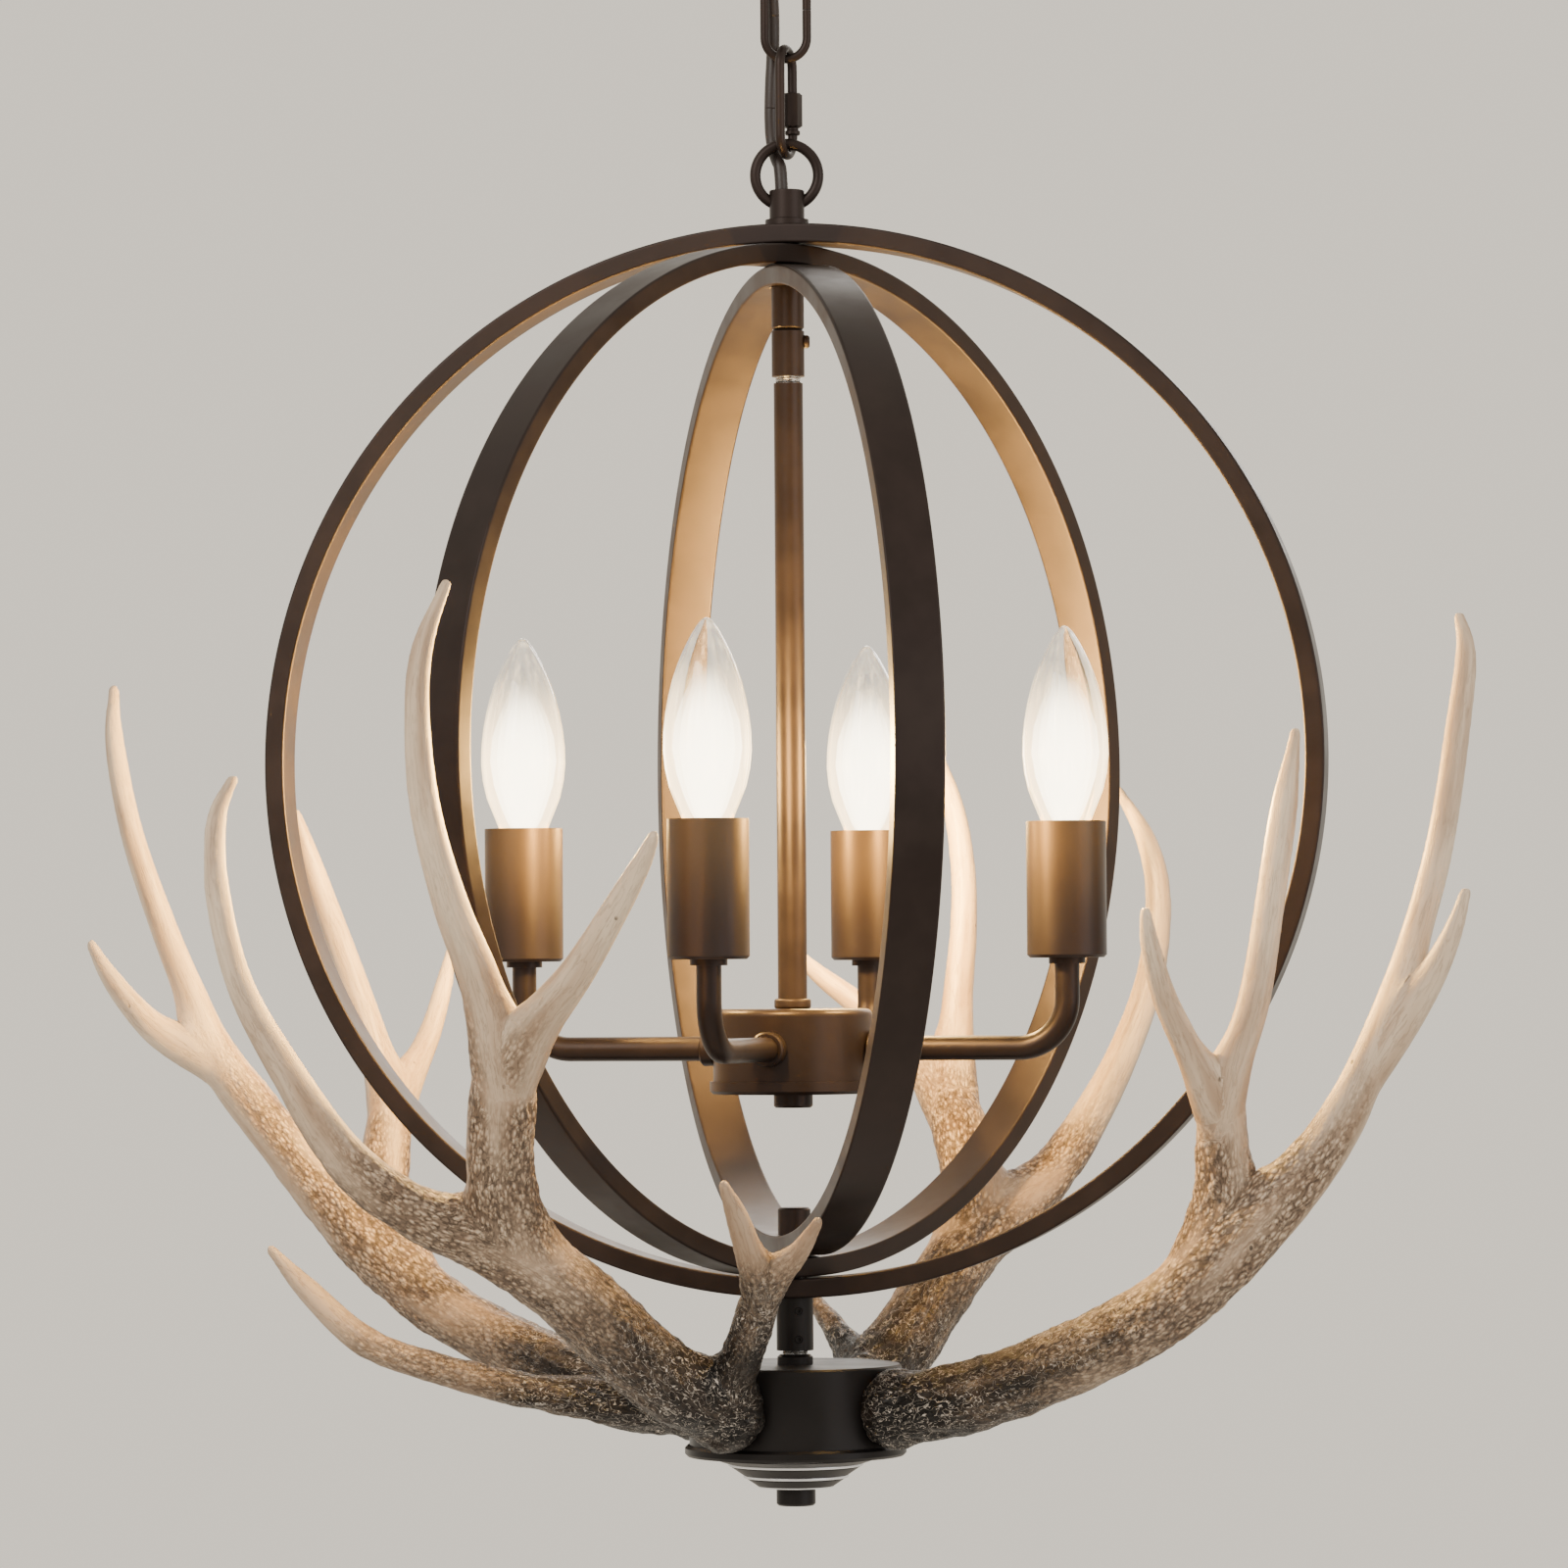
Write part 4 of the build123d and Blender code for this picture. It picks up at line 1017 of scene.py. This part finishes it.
class ChainSettings(bpy.types.PropertyGroup):
    chain_wire: metres("Chain wire", "Thickness of the chain's wire", 0.0036)
    quick_wire: metres("Quick link wire", "Thickness of the quick link's wire", 0.004)
    quick_width: metres("Quick link width", "Width of the quick link outside", 0.019)
    loop_wire: metres("Loop wire", "Thickness of the screw loops' rings", 0.0045)
    loop_radius: metres("Loop radius", "Middle line of the screw loops' rings", 0.01295)
    seam: metres("Seam", "Gap where a link's two ends meet", 0.0003)


class RingSettings(bpy.types.PropertyGroup):
    width: metres("Width", "Width of the flat bar", 0.020)
    thickness: metres("Thickness", "Thickness of the flat bar", 0.008)
    edge: metres("Edge", "Round along the bar's edges", 0.0009)


class AntlerSettings(bpy.types.PropertyGroup):
    cream: colour("Cream", "Smooth tips", (0.70, 0.56, 0.41))
    honey: colour("Honey", "Soft grooves in the tips", (0.50, 0.36, 0.245))
    tan: colour("Tan", "Middle of the beams", (0.33, 0.215, 0.135))
    bark: colour("Bark", "Hollows of the bark", (0.060, 0.036, 0.023))
    foot: colour("Foot", "Dark foot near the canister", (0.0055, 0.0042, 0.0036))
    # Painted highlight: the pale colour of the crests on the foot.
    painted_crest_highlight: colour("Painted highlight", "Pale crests on the foot", (0.74, 0.66, 0.58))
    relief: number("Relief", "Depth of the bark, in millimetres", 1.1, max=4.0)
    lumps: number("Lumps", "Height of the larger lumps, in millimetres", 1.0, max=3.0)
    voxel: number("Skin", "Face size of the skin, in millimetres", 1.15, 0.8, max=4.0)
    spacing: number("Spacing", "Point spacing along a branch, in millimetres", 3.0, 1.0)
    sides: IntProperty(name="Sides", description="Points round a branch", default=28, min=8, max=64)


class LampSettings(bpy.types.PropertyGroup):
    glow: colour("Glow", "Colour of the lit glass", (1.0, 0.72, 0.36))
    light: colour("Light", "Colour of the light that the lamps throw", (1.0, 0.60, 0.17))
    wall: metres("Wall", "Thickness of the glass", 0.0008)
    glass_strength: number("Glass glow", "Light given by the glass", 2.2)
    core_strength: number("Core glow", "Light given by the cloud round the filament", 7.0)
    power: number("Lamp power", "Light that each lamp throws", 5.4, subtype="POWER")


class CordSettings(bpy.types.PropertyGroup):
    sheath: colour("Sheath", "Colour of the supply cord", (0.028, 0.018, 0.015))
    diameter: metres("Diameter", "Thickness of the cord", 0.0054, 0.002)


class StageSettings(bpy.types.PropertyGroup):
    floor: colour("Floor", "Plain pale floor", (0.72, 0.70, 0.67))
    surround: colour("Surround", "Plain pale light all round", (0.94, 0.865, 0.74))
    drop: metres("Floor drop", "Floor below the ceiling", 2.4, 0.9)


SETTINGS = {
    "metal": MetalSettings,
    "chain": ChainSettings,
    "ring": RingSettings,
    "antler": AntlerSettings,
    "lamp": LampSettings,
    "cord": CordSettings,
    "stage": StageSettings,
}


# ---------------------------------------------------------------- operators
class CHANDELIER_OT_metalwork(bpy.types.Operator):
    """Paint the rings, arms, sleeves, chain, canister and threaded tubes"""

    bl_idname = "chandelier.metalwork"
    bl_label = "Finish the metalwork"

    def execute(self, context):
        settings = context.scene.chandelier_metal
        bronze = painted_metal("bronze_paint", settings.bronze, settings.roughness)
        black = painted_metal("black_bronze_paint", settings.black, settings.roughness)
        plated = bright_metal("plated_thread", settings.plated, 0.16, settings.pitch * MM)
        steel = bright_metal("plain_steel", shade(settings.plated, 0.6), 0.3, 10.0)
        holder = plain_plastic("holder_moulding", (0.02, 0.018, 0.017), 0.5)
        finishes = {
            "bronze": bronze,
            "black_bronze": black,
            "bright_thread": plated,
            "steel": steel,
            "lamp_cap": steel,
            "holder": holder,
        }
        for row in frame["record"]["subparts"]:
            if row["material_slot"] in finishes:
                dress([row["node"]], finishes[row["material_slot"]])
        # The sleeves get a paint with their lamps' light painted into it, strongest at their tops.
        low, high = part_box("candle_sleeve_front_right")
        sleeve_lamplight_paint = metal_with_painted_lamplight(
            "lamplit_sleeve_paint", settings.bronze, settings.warm[:], low.z, high.z, settings.roughness
        )
        dress(["candle_sleeve_" + side for side in SIDES], sleeve_lamplight_paint)
        return {"FINISHED"}


# Each link's node and its turn about the plumb line in degrees.
CHAIN_LINKS = (("chain_link_top", 0), ("chain_link_middle", 90), ("chain_link_bottom", 0))
QUICK_LINK_TURN = 70
# Each loop's node and body, 1 or -1 for its stub above or below the ring, and its turn.
LOOPS = (("canopy_loop", "ceiling_mount", 1, 90), ("top_loop", "fixture", -1, 0))
# In millimetres: how far from the ring's middle a stub starts, its cord way ends and it ends;
# its radius, its cord way's and its edges', and half the width where the ring enters it.
STUB_REACHES = (6.3, 12.4, 18.5)
STUB_RADIUS, CORD_WAY, STUB_EDGE, LET_IN = 7.25, 3.0, 0.5, 5.4
THREAD_HOLE = 5.05  # radius of a hole round the threaded tube
# In millimetres: the quick link's gap above the foot of its wire, and its nut's width over the
# flats, radius and rise of each turned step, and the hexagon's start and distance from the end.
QUICK_GAP = (9.7, 17.3)
NUT_FLATS = 7.0
NUT_STEPS = ((2.05, 0), (2.7, 0), (3.1, 0.4), (3.1, 1.7), (2.5, 2.1), (2.5, 2.9), (3.2, 3.2))
FLATS_START, FLATS_REST = 3.8, 0.7
WIRE_SIDES, TURNED_SIDES = 24, 48  # points round a wire and round a turned piece


def screw_loop(recipe, node, up, turn, settings, finish):
    """A ring of wire let into a bored stub; up is 1 if the stub is above the ring."""
    low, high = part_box(node)
    wire = settings.loop_wire
    radius = settings.loop_radius
    centre = low.z + radius + wire / 2 if up > 0 else high.z - radius - wire / 2
    let_in = asin(LET_IN * MM / radius)
    path = [
        level(turn) * radius * sin(angle) + Vector((0, 0, centre + up * radius * cos(angle)))
        for angle in np.linspace(let_in, 2 * pi - let_in, 61)
    ]
    ring = bent_wire(recipe, node + "_ring", path, wire, WIRE_SIDES, finish, closed=False)
    near, middle, far = (centre + up * reach * MM for reach in STUB_REACHES)
    outside, thread, way = STUB_RADIUS * MM, THREAD_HOLE * MM, CORD_WAY * MM
    corners = [(way, near), (outside, near), (outside, far)]
    corners += [(thread, far), (thread, middle), (way, middle)]
    rows = [circle(*corner, TURNED_SIDES) for corner in rounded(corners, STUB_EDGE * MM)]
    stub = turned_piece(node + "_stub", rows, finish)
    return joined(node + "_forged", (ring, stub))


class CHANDELIER_OT_chain(bpy.types.Operator):
    """Bend the chain links, the quick link and the two screw loops from round wire"""

    bl_idname = "chandelier.chain"
    bl_label = "Bend the chain"

    def execute(self, context):
        settings = context.scene.chandelier_chain
        bronze = bpy.data.materials["bronze_paint"]
        recipe = wire_recipe()
        links = []
        for node, turn in CHAIN_LINKS:
            low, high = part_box(node)
            width = max(high.x - low.x, high.y - low.y)
            middle = (low.z + high.z) / 2
            seam = (middle - settings.seam / 2, middle + settings.seam / 2)
            links.append((node, turn, settings.chain_wire, width, seam))
        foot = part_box("quick_link")[0].z + settings.quick_wire / 2
        gap = tuple(foot + rise * MM for rise in QUICK_GAP)
        width = settings.quick_width
        links.append(("quick_link", QUICK_LINK_TURN, settings.quick_wire, width, gap))
        for node, turn, wire, width, gap in links:
            low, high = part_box(node)
            path = link_path(high.z - low.z, width, wire, high.z - wire / 2, turn, gap)
            link = bent_wire(recipe, node + "_bent", path, wire, WIRE_SIDES, bronze, closed=False)
            stand_for(link, node, node)

        low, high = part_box("quick_link_nut")
        tall = high.z - low.z
        rows = [circle(radius * MM, rise * MM, TURNED_SIDES) for radius, rise in NUT_STEPS]
        for rise in (FLATS_START * MM, tall - FLATS_REST * MM):
            rows.append(hexagon(NUT_FLATS * MM, rise, TURNED_SIDES))
        for radius, _ in (NUT_STEPS[-1], NUT_STEPS[0]):
            rows.append(circle(radius * MM, tall, TURNED_SIDES))
        place = Matrix.Translation(((low.x + high.x) / 2, (low.y + high.y) / 2, low.z))
        nut = turned_piece("quick_link_nut_cut", rows, bronze, place=place, crease=30)
        stand_for(nut, "quick_link_nut", "quick_link_nut")

        for node, body, up, turn in LOOPS:
            stand_for(screw_loop(recipe, node, up, turn, settings, bronze), node, body)
        return {"FINISHED"}


# Each ring's body and its turn about the plumb line in degrees.
RINGS = {
    "outer": ("fixture", -10),
    "middle": ("ring_middle", 50),
    "inner": ("ring_inner", -76),
}
RING_STEPS = 288  # points round a ring


def bored(piece, radius, finish):
    """The piece with a plumb hole through it on the chandelier's axis."""
    low, high = cad_box
    rows = [circle(radius, low[2] - 0.01, 32), circle(radius, high[2] + 0.01, 32)]
    drill = turned_piece("drill", rows, finish, looped=False)
    cut_away = piece.modifiers.new("bore", "BOOLEAN")
    cut_away.object = drill
    cut_away.solver = "EXACT"
    mesh = settled_mesh(piece)
    piece.modifiers.remove(cut_away)
    piece.data = mesh
    bpy.data.objects.remove(drill)


class CHANDELIER_OT_rings(bpy.types.Operator):
    """Turn the three flat rings with softly broken edges"""

    bl_idname = "chandelier.rings"
    bl_label = "Turn the rings"

    def execute(self, context):
        settings = context.scene.chandelier_ring
        bronze = bpy.data.materials["bronze_paint"]
        for name, (body, turn) in RINGS.items():
            low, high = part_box("ring_" + name)
            outside = (high.z - low.z) / 2
            inside = outside - settings.thickness
            half = settings.width / 2
            corners = ((inside, -half), (outside, -half), (outside, half), (inside, half))
            raised = Matrix.Translation((0, 0, (low.z + high.z) / 2))
            place = raised @ turned(turn, "Z") @ turned(90, "X")
            rows = [circle(*corner, RING_STEPS) for corner in rounded(corners, settings.edge)]
            ring = turned_piece("flat_ring_" + name, rows, bronze, place=place)
            bored(ring, THREAD_HOLE * MM, bronze)
            stand_for(ring, "ring_" + name, body)
        return {"FINISHED"}


# The finial's bright rims, near white as a painted reflection: radius, height above its foot and
# thickness, in millimetres.
FINIAL_RIMS = ((33.4, 12.5, 1.2), (27.0, 9.5, 1.5), (20.9, 4.6, 1.4), (15.0, 0.6, 1.2))
RIM_REFLECTION_COLOUR = (0.82, 0.83, 0.86)
# The pieces below and above each stretch of bare thread; the thread's radius and its distance
# from those pieces, in millimetres, and its steps in a turn.
THREADED_GAPS = (("stem", "lock_collar"), ("base_lock_ring", "lower_coupler"))
THREAD_RADIUS, THREAD_INSET, THREAD_STEPS = 4.8, 0.2, 24
BEAD_ROUND = 1.15 * MM  # round of the bead at the stem's foot
# The set screws: turn in degrees, and in millimetres the radius, the ends from the pole's axis,
# the bevel, the socket's width and floor, and how far the screws' middles are set in.
SCREW_TURN, SCREW_RADIUS, SCREW_ENDS, SCREW_BEVEL = -78, 1.55, (5.1, 7.2), 0.2
SOCKET_FLATS, SOCKET_FLOOR, SCREW_INSET = 1.7, 6.2, 1.6


class CHANDELIER_OT_fittings(bpy.types.Operator):
    """Cut the threads, set screws, beads and bright rims of the poles and the finial"""

    bl_idname = "chandelier.fittings"
    bl_label = "Cut the fittings"

    def execute(self, context):
        settings = context.scene.chandelier_metal
        bronze = bpy.data.materials["bronze_paint"]
        black = bpy.data.materials["black_bronze_paint"]
        plated = bpy.data.materials["plated_thread"]
        recipe = wire_recipe()
        for below, above in THREADED_GAPS:
            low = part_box(below)[1].z + THREAD_INSET * MM
            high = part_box(above)[0].z - THREAD_INSET * MM
            pitch = settings.pitch * MM
            count = int(THREAD_STEPS * (high - low) / pitch) + 1
            path = []
            for k in range(count):
                angle = 2 * pi * k / THREAD_STEPS
                flat = (THREAD_RADIUS * MM * cos(angle), THREAD_RADIUS * MM * sin(angle))
                path.append(Vector((*flat, low + pitch * k / THREAD_STEPS)))
            thread = bent_wire(recipe, "thread_over_" + below, path, 0.9 * pitch, 6, plated, False)
            goes_with(thread, "fixture")

        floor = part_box("finial_steps")[0].z
        # Painted reflection: the rims along the step edges are painted near white.
        bright = painted_metal("painted_reflection_rim", RIM_REFLECTION_COLOUR, 0.22)
        for place, (radius, rise, wire) in enumerate(FINIAL_RIMS):
            path = circle(radius * MM, floor + rise * MM, 120)
            rim = bent_wire(recipe, f"finial_rim_{place}", path, wire * MM, 12, bright)
            goes_with(rim, "fixture")

        low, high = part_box("stem_neck_ring")
        hole = THREAD_HOLE * MM
        corners = ((hole, low.z), (high.x, low.z), (high.x, high.z), (hole, high.z))
        rows = [circle(*corner, TURNED_SIDES) for corner in rounded(corners, BEAD_ROUND)]
        bead = turned_piece("stem_bead", rows, bronze)
        stand_for(bead, "stem_neck_ring", "fixture")

        low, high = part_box("grub_screws")
        face = SCREW_ENDS[1] + SCREW_BEVEL
        rows = [circle(SCREW_RADIUS * MM, end * MM, 24) for end in SCREW_ENDS]
        rows.append(circle((SCREW_RADIUS - SCREW_BEVEL) * MM, face * MM, 24))
        rows += [hexagon(SOCKET_FLATS * MM, end * MM, 24) for end in (face, SOCKET_FLOOR)]
        outwards = turned(SCREW_TURN, "Z") @ turned(90, "Y")
        pattern = turned_piece("set_screw", rows, black, looped=False, place=outwards)
        start = high.z - SCREW_INSET * MM
        step = low.z + SCREW_INSET * MM - start
        values = {"Pattern": pattern, "Count": 2, "Finish": black}
        values |= {"Start": (0, 0, start), "Step": (0, 0, step)}
        empty = drawn_path("set_screws_path", [(0, 0, 0)], False)
        screws = row_recipe().made_from(empty, "set_screws", values)
        bpy.data.objects.remove(pattern)
        screws.data.set_sharp_from_angle(angle=radians(CREASE))
        stand_for(screws, "grub_screws", "fixture")
        return {"FINISHED"}


class CHANDELIER_OT_antlers(bpy.types.Operator):
    """Grow the four antlers: one skin each, with bark, lumps and smooth tips"""

    bl_idname = "chandelier.antlers"
    bl_label = "Grow the antlers"

    def execute(self, context):
        settings = context.scene.chandelier_antler
        finish = antler_finish(settings)
        for side in ANTLERS:
            stand_for(grown_antler(side, settings, finish), "antler_" + side, "fixture")
        return {"FINISHED"}


# A lamp's outline: share of the way from neck to tip, and share of the belly's radius.
FLAME = (
    (0.0, 0.58), (0.045, 0.66), (0.09, 0.745), (0.16, 0.87), (0.25, 0.96), (0.34, 1.0),
    (0.43, 0.99), (0.52, 0.945), (0.61, 0.87), (0.69, 0.78), (0.76, 0.675), (0.82, 0.565),
    (0.875, 0.445), (0.92, 0.335), (0.957, 0.23), (0.984, 0.135), (0.996, 0.06), (1.0, 0.01),
)
# The bright cloud low in the lamp: height above the neck and radius, in metres. Shells of these
# shares of its width stand in one another.
GLOW = (
    (0.000, 0.0050), (0.003, 0.0068), (0.009, 0.0092), (0.018, 0.0122), (0.028, 0.0138),
    (0.038, 0.0128), (0.047, 0.0098), (0.055, 0.0062), (0.062, 0.0032), (0.067, 0.0006),
)
GLOW_SHELLS = (1.0, 0.8, 0.6, 0.4)
# In metres: radius of the glass's foot, where the glow ends, and the light's height and radius.
FOOT_RADIUS, GLOW_TOP, LIGHT_RISE, LIGHT_RADIUS = 0.0062, 0.048, 0.026, 0.010
NARROWEST = 2.2  # radius of the glass, in walls, above which it is hollow


def blown(name, outline, steps, spot, finish):
    """A closed form turned round a lamp's own plumb line from rows of radius and height."""
    rows = [circle(*row, steps, spot) for row in outline]
    return turned_piece(name, rows, finish, looped=False, crease=60)


class CHANDELIER_OT_lamps(bpy.types.Operator):
    """Blow the flame lamps and light them"""

    bl_idname = "chandelier.lamps"
    bl_label = "Make the lamps"

    def execute(self, context):
        settings = context.scene.chandelier_lamp
        wall = settings.wall
        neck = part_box("candle_sleeve_front_right")[1].z
        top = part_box("bulb_front_right")[1].z
        glass = lamp_glass(settings, neck, top)
        glow = lamp_glow(settings, neck, neck + GLOW_TOP)
        for side in SIDES:
            low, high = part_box("bulb_" + side)
            centre = (low + high) / 2
            spot = (centre.x, centre.y)
            belly = (high.x - low.x) / 2
            tall = high.z - neck
            outline = [(FOOT_RADIUS, low.z)]
            outline += [(belly * width, neck + tall * rise) for rise, width in FLAME]
            hollow = [(FOOT_RADIUS - wall, low.z + wall)]
            for radius, height in outline[1:]:
                if radius > NARROWEST * wall:
                    hollow.append((radius - wall, height))
            outer = blown("outer_wall", outline, 64, spot, glass)
            inner = blown("inner_wall", hollow, 64, spot, glass)
            inner.data.flip_normals()
            shell = joined("lamp_glass_" + side, (outer, inner))
            shell.visible_shadow = False
            stand_for(shell, "bulb_" + side, "bulb_" + side)

            shells = []
            for share in GLOW_SHELLS:
                rows = [(share * radius, neck + rise) for rise, radius in GLOW]
                shells.append(blown("glow_shell", rows, 32, spot, glow))
            cloud = joined("lamp_glow_" + side, shells)
            cloud.visible_shadow = False
            goes_with(cloud, "bulb_" + side)

            light = bpy.data.lights.new("lamp_light_" + side, "POINT")
            light.energy = settings.power
            light.color = settings.light[:3]
            light.shadow_soft_size = LIGHT_RADIUS
            lit = linked("lamp_light_" + side, light)
            lit.visible_camera = False
            lit.visible_transmission = False
            lit.location = (*spot, neck + LIGHT_RISE)
            lit.parent = frame["bodies"]["bulb_" + side]
        return {"FINISHED"}


# The supply cord's route from the hub up to the cover's loop, in millimetres from the origin.
CORD_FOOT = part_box("supply_cord")[0].z / MM
CORD_ROUTE = (
    (0, 0, CORD_FOOT), (0, 0, -219.0), (-6.0, 8.0, -206.3), (-6.6, 6.8, -186.5),
    (-4.8, 6.8, -158.5), (-6.0, 6.3, -130.5), (6.0, -6.2, -95.5), (7.2, -6.8, -77.5),
    (8.0, -6.0, -58.7), (0, 0, -46.0), (0, 0, -30.0),
)
# Each length's upper and lower body, the height of the joint between them and of its own end.
CORD_SPANS = (
    ("ceiling_mount", "chain_link_top", -60.45, -77.0),
    ("chain_link_top", "chain_link_middle", -96.5, -114.5),
    ("chain_link_middle", "chain_link_bottom", -133.0, -151.0),
    ("chain_link_bottom", "quick_link", -169.5, -189.0),
    ("quick_link", "fixture", -209.1, -600.0),
)
CORD_SIDES = 20  # points round the cord


def smooth_route(points):
    """Points read from a smooth spline that takes the route's points as its control points."""
    curve = bpy.data.curves.new("route", "CURVE")
    curve.dimensions = "3D"
    curve.resolution_u = 24
    spline = curve.splines.new("NURBS")
    spline.points.add(len(points) - 1)
    for point, place in zip(spline.points, points):
        point.co = (*(Vector(place) * MM), 1.0)
    spline.order_u = 3
    spline.use_endpoint_u = True
    route = bpy.data.objects.new("route", curve)
    mesh = bpy.data.meshes.new_from_object(route)
    drawn = np.array([vertex.co for vertex in mesh.vertices])
    bpy.data.objects.remove(route)
    return drawn


class CHANDELIER_OT_cord(bpy.types.Operator):
    """Run the supply cord through the chain, one length for each joint of the chain"""

    bl_idname = "chandelier.cord"
    bl_label = "Run the supply cord"

    def execute(self, context):
        settings = context.scene.chandelier_cord
        sheath = plain_plastic("cord_sheath", settings.sheath, 0.42)
        route = smooth_route(CORD_ROUTE[::-1])
        top = 1.0
        for upper, lower, pivot, end in CORD_SPANS:
            end = end * MM
            span = route[(route[:, 2] <= top + 1e-6) & (route[:, 2] >= end - 1e-6)]
            span = np.vstack([cut(route, top), span, cut(route, end)])
            rows = np.column_stack([span, np.full(len(span), settings.diameter / 2)])
            points, faces = open_tube(rows, CORD_SIDES)
            piece = mesh_object("cord_" + lower, points, faces, sheath)
            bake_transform(piece)
            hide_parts("supply_cord")
            top = end
        return {"FINISHED"}


def cut(route, height):
    """The route's point at this height, as one row, or none beyond its ends."""
    if height > route[0, 2] or height < route[-1, 2]:
        return np.empty((0, 3))
    after = int((route[:, 2] <= height).argmax())
    low, high = route[after], route[after - 1]
    share = (height - low[2]) / (high[2] - low[2])
    return (low + (high - low) * share)[None]


def open_tube(rows, steps):
    """A round tube of one thickness along a path, with flat closed ends."""
    points, faces = tube(rows, steps)
    rings = len(rows) * steps
    points, faces = points[:rings], [face for face in faces if len(face) == 4]
    faces.append(tuple(reversed(range(steps))))
    faces.append(tuple(range(rings - steps, rings)))
    return points, faces


FLOOR_REACH = 14.0  # metres from the middle to each side
SURROUND_STRENGTH = 1.1
# Each soft light's name, place and size in metres, power in watts, and tint.
SOFT_LIGHTS = (
    ("key", (-1.6, -2.2, 0.9), 1.6, 42.0, (1.0, 0.98, 0.95)),
    ("fill", (2.2, -1.6, -0.2), 1.8, 20.0, (0.95, 0.97, 1.0)),
    ("back", (0.6, 2.4, 0.7), 1.4, 24.0, (1.0, 0.97, 0.93)),
)
# The camera: place from the rings' middle, turns in degrees, and lens and sensor in millimetres.
EYE_PLACE = Vector((-0.0029, -2.613, -0.0902))
EYE_PITCH, EYE_ROLL = 90 + 1.762, -0.404
LENS, SENSOR = 146.25, 36.0
NEAREST, FARTHEST = 0.1, 60.0


class CHANDELIER_OT_stage(bpy.types.Operator):
    """Set the floor, the soft light and the camera"""

    bl_idname = "chandelier.stage"
    bl_label = "Set the stage"

    def execute(self, context):
        settings = context.scene.chandelier_stage
        scene = context.scene
        signs = ((-1, -1), (1, -1), (1, 1), (-1, 1))
        corners = [(x * FLOOR_REACH, y * FLOOR_REACH, -settings.drop) for x, y in signs]
        paint = matte("floor_paint", settings.floor, 0.8)
        mesh_object("floor", corners, [(0, 1, 2, 3)], paint)

        world = bpy.data.worlds.new("surround")
        scene.world = world
        world.use_nodes = True
        sky = world.node_tree.nodes["Background"]
        sky.inputs["Color"].default_value = settings.surround[:]
        sky.inputs["Strength"].default_value = SURROUND_STRENGTH

        for name, place, size, energy, tint in SOFT_LIGHTS:
            light = bpy.data.lights.new(name, "AREA")
            light.size = size
            light.energy = energy
            light.color = tint
            lamp = linked(name, light)
            lamp.location = place
            aim = ORB_CENTRE - Vector(place)
            lamp.rotation_euler = aim.to_track_quat("-Z", "Y").to_euler()

        camera = bpy.data.cameras.new("camera")
        camera.lens = LENS
        camera.sensor_width = SENSOR
        camera.clip_start = NEAREST
        camera.clip_end = FARTHEST
        eye = linked("camera", camera)
        place = Matrix.Translation(ORB_CENTRE + EYE_PLACE)
        eye.matrix_world = place @ turned(EYE_PITCH, "X") @ turned(EYE_ROLL, "Z")
        scene.camera = eye
        return {"FINISHED"}


OPERATORS = (
    CHANDELIER_OT_stage,
    CHANDELIER_OT_cord,
    CHANDELIER_OT_metalwork,
    CHANDELIER_OT_chain,
    CHANDELIER_OT_rings,
    CHANDELIER_OT_fittings,
    CHANDELIER_OT_antlers,
    CHANDELIER_OT_lamps,
)


class CHANDELIER_PT_panel(bpy.types.Panel):
    """The chandelier's steps and settings"""

    bl_idname = "CHANDELIER_PT_panel"
    bl_label = "Chandelier"
    bl_space_type = "VIEW_3D"
    bl_region_type = "UI"
    bl_category = "Chandelier"

    def draw(self, context):
        for operator in OPERATORS:
            self.layout.operator(operator.bl_idname)
        for name, group in SETTINGS.items():
            box = self.layout.box()
            box.label(text=name.capitalize())
            settings = getattr(context.scene, "chandelier_" + name)
            for prop in group.__annotations__:
                box.prop(settings, prop)


def register():
    for name, group in SETTINGS.items():
        bpy.utils.register_class(group)
        setattr(bpy.types.Scene, "chandelier_" + name, PointerProperty(type=group))
    for kind in (*OPERATORS, CHANDELIER_PT_panel):
        bpy.utils.register_class(kind)


def unregister():
    for kind in (CHANDELIER_PT_panel, *reversed(OPERATORS)):
        bpy.utils.unregister_class(kind)
    for name, group in SETTINGS.items():
        delattr(bpy.types.Scene, "chandelier_" + name)
        bpy.utils.unregister_class(group)


def main():
    register()
    for operator in OPERATORS:
        group, name = operator.bl_idname.split(".")
        getattr(getattr(bpy.ops, group), name)()


if __name__ == "__main__":
    main()
